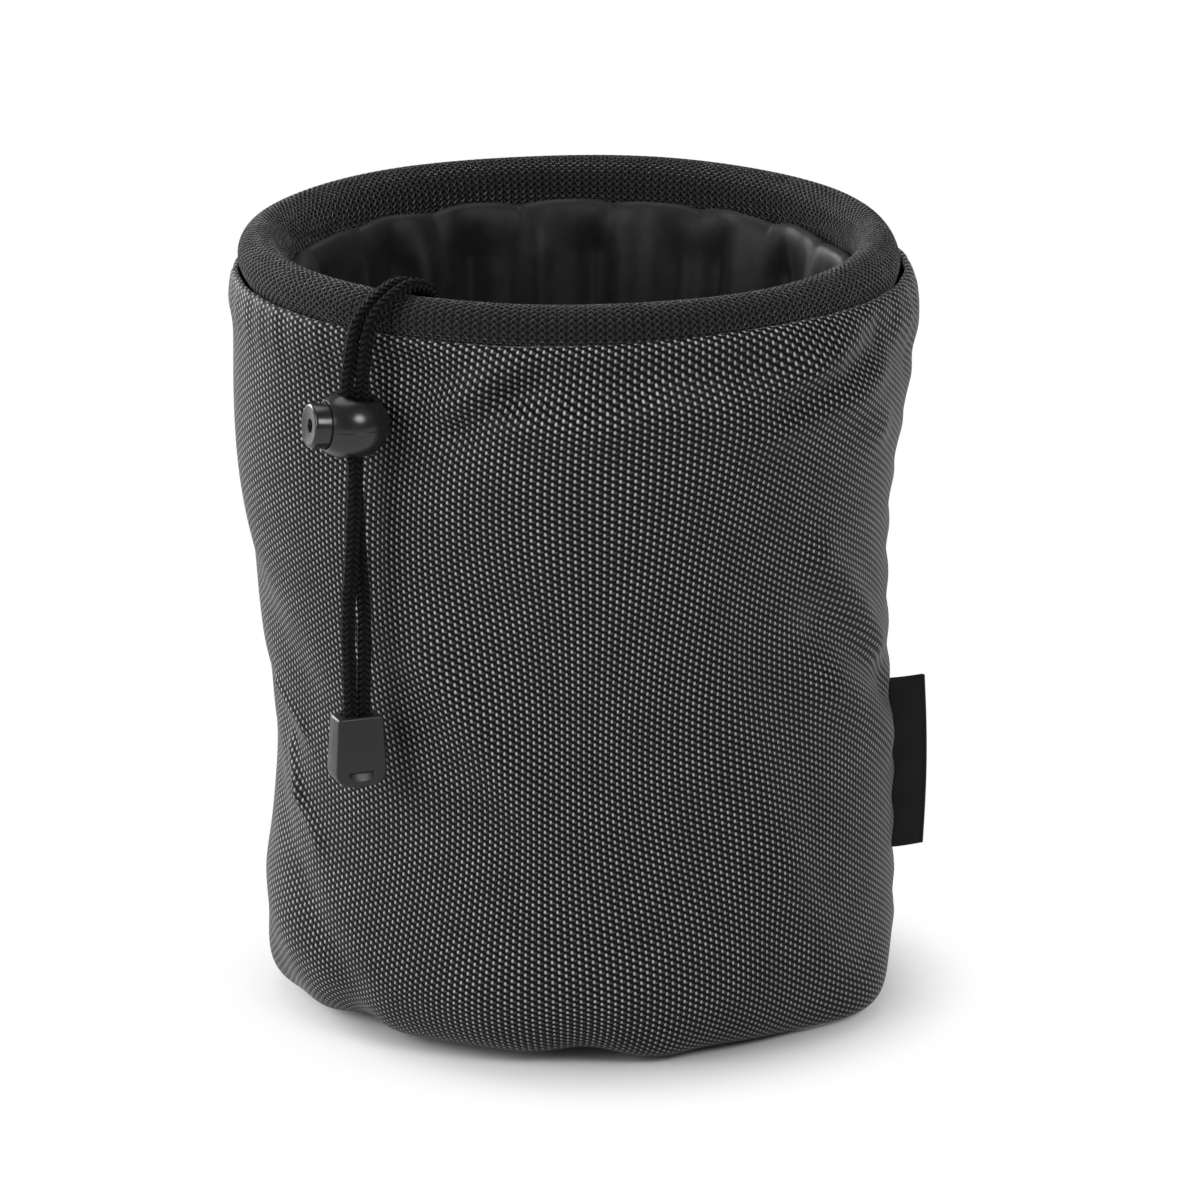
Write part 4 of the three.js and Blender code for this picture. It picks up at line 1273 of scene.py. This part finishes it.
def end_shell(facing):
    """The front or back half of the cord end, with the room for the strands and their knot cut out."""
    depth = [HALF_GAP, END_DEPTH / 2 - END_EDGE]
    inset = [0, 0]
    for angle in np.radians([18, 36, 54, 72, 90]):
        depth.append(END_DEPTH / 2 - END_EDGE + END_EDGE * np.sin(angle))
        inset.append(END_EDGE * (1 - np.cos(angle)))
    body = prism([end_outline(i) for i in inset], [facing * d for d in depth])
    for corner in body.verts:
        corner.co.y *= end_swell(corner.co.z)
    knot_top = END_HIGH[2] - CHANNEL_DEEP
    knot_low = END_LOW[2] + THUMB_TOP + 1
    cutters = [
        block((-CHANNEL_X, -CHANNEL_Y, knot_top - 1), (CHANNEL_X, CHANNEL_Y, END_HIGH[2] + 5)),
        block((-CHANNEL_X, -KNOT_ROOM_Y, knot_low), (CHANNEL_X, KNOT_ROOM_Y, knot_top)),
    ]
    if facing < 0:
        cutters.append(thumb_nick())
    return carved(body, cutters)


def add_knot():
    flatness, inset, scale = 0.55, 0.8, 0.45
    low, high = in_mm("cord_end_knot")
    t = np.linspace(0, 2 * np.pi, 160)
    size = ((high - low)[2] / 2 - inset) / 3
    across = (np.sin(t) + 2 * np.sin(2 * t)) * size
    back = -flatness * np.sin(3 * t) * size
    up = (np.cos(t) - 2 * np.cos(2 * t)) * size
    angle = np.radians(TAIL_TURN)
    x = across * np.cos(angle) - back * np.sin(angle)
    y = across * np.sin(angle) + back * np.cos(angle)
    path = np.stack([x, y, up], -1) + (low + high) / 2
    knot = cord_piece("end_knot", path, sides=24, spacing=0.25, scale=scale)
    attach(knot, "tail")
    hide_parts("cord_end_knot")


def add_cord_end():
    place = placed((TAIL_X, TAIL_Y, 0), TAIL_TURN)
    for facing, word in ((-1, "front"), (1, "back")):
        mesh = end_shell(facing)
        shell = moulded_piece(f"end_{word}", mesh, "grey_plastic", place, crease=END_CREASE)
        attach(shell, "tail")
        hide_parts(f"cord_end_{word}")
    add_knot()


add_wall()
add_base()
add_tapes()
add_label()
add_rim()
add_throat()
add_lock()
add_cord_end()


# The floor is white where the camera sees it, keeps the shadow near the bag and throws little light
# back. Its sizes are in metres.
FLOOR_SIZE, FLOOR_BELOW = 6, 0.0004
FLOOR_BOUNCE, FLOOR_SEEN = 0.4, 0.9
SHADOW_MIDDLE = (0.005, -0.005, 0)
FLOOR_WHITE_FROM = (0.056, 0.092)


def add_stage():
    mesh = bpy.data.meshes.new("floor")
    corners = [(x * FLOOR_SIZE, y * FLOOR_SIZE, 0) for x, y in ((-1, -1), (1, -1), (1, 1), (-1, 1))]
    mesh.from_pydata(corners, [], [(0, 1, 2, 3)])
    floor = linked("floor", mesh)
    floor.location.z = -FLOOR_BELOW
    look = Look("floor", roughness=0.9, specular=0.0)
    rays = look.add("ShaderNodeLightPath", {}).outputs
    seen = look.math("MAXIMUM", rays["Is Camera Ray"], rays["Is Glossy Ray"])
    seen = look.math("MAXIMUM", seen, rays["Is Transmission Ray"])
    look.colour(look.mix(seen, grey(FLOOR_BOUNCE), grey(FLOOR_SEEN)))
    from_shadow = look.vector("LENGTH", look.vector("SUBTRACT", look.place(), SHADOW_MIDDLE))
    far = look.fade(from_shadow, *FLOOR_WHITE_FROM)
    white = look.add("ShaderNodeEmission", {"Strength": 1.0}).outputs[0]
    inputs = {0: look.math("MULTIPLY", seen, far), 1: look.shader.outputs[0], 2: white}
    shown = look.add("ShaderNodeMixShader", inputs).outputs[0]
    look.put(look.tree.nodes["Material Output"].inputs["Surface"], shown)
    mesh.materials.append(look.material)


# Lights: name, place and width in metres, and power in watts
LIGHTS = [
    ("key_left", (-1.7, -0.75, 0.87), 1.5, 17.4),
    ("strip_left", (-1.27, -1.22, 0.86), 0.8, 6),
    ("edge_left", (-1.26, 1.14, 0.55), 0.9, 24),
    ("fill_right", (1.1, -1.4, 1.3), 0.8, 18),
    ("overhead", (-0.1, 0.6, 1.9), 1.6, 14),
]
LIGHTS_AIM = (0, 0, 0.1)
WORLD_STRENGTH = 0.2


def add_lights():
    for name, place, size, power in LIGHTS:
        data = bpy.data.lights.new(name, "AREA")
        data.shape = "DISK"
        data.size = size
        data.energy = power
        light = linked(name, data)
        light.location = place
        light.rotation_euler = (Vector(place) - Vector(LIGHTS_AIM)).to_track_quat("Z", "Y").to_euler()
    world = bpy.data.worlds.new("studio")
    world.use_nodes = True
    background = world.node_tree.nodes["Background"].inputs
    background["Color"].default_value = (1, 1, 1, 1)
    background["Strength"].default_value = WORLD_STRENGTH
    bpy.context.scene.world = world


add_stage()
add_lights()
bpy.context.scene.view_settings.view_transform = "Standard"
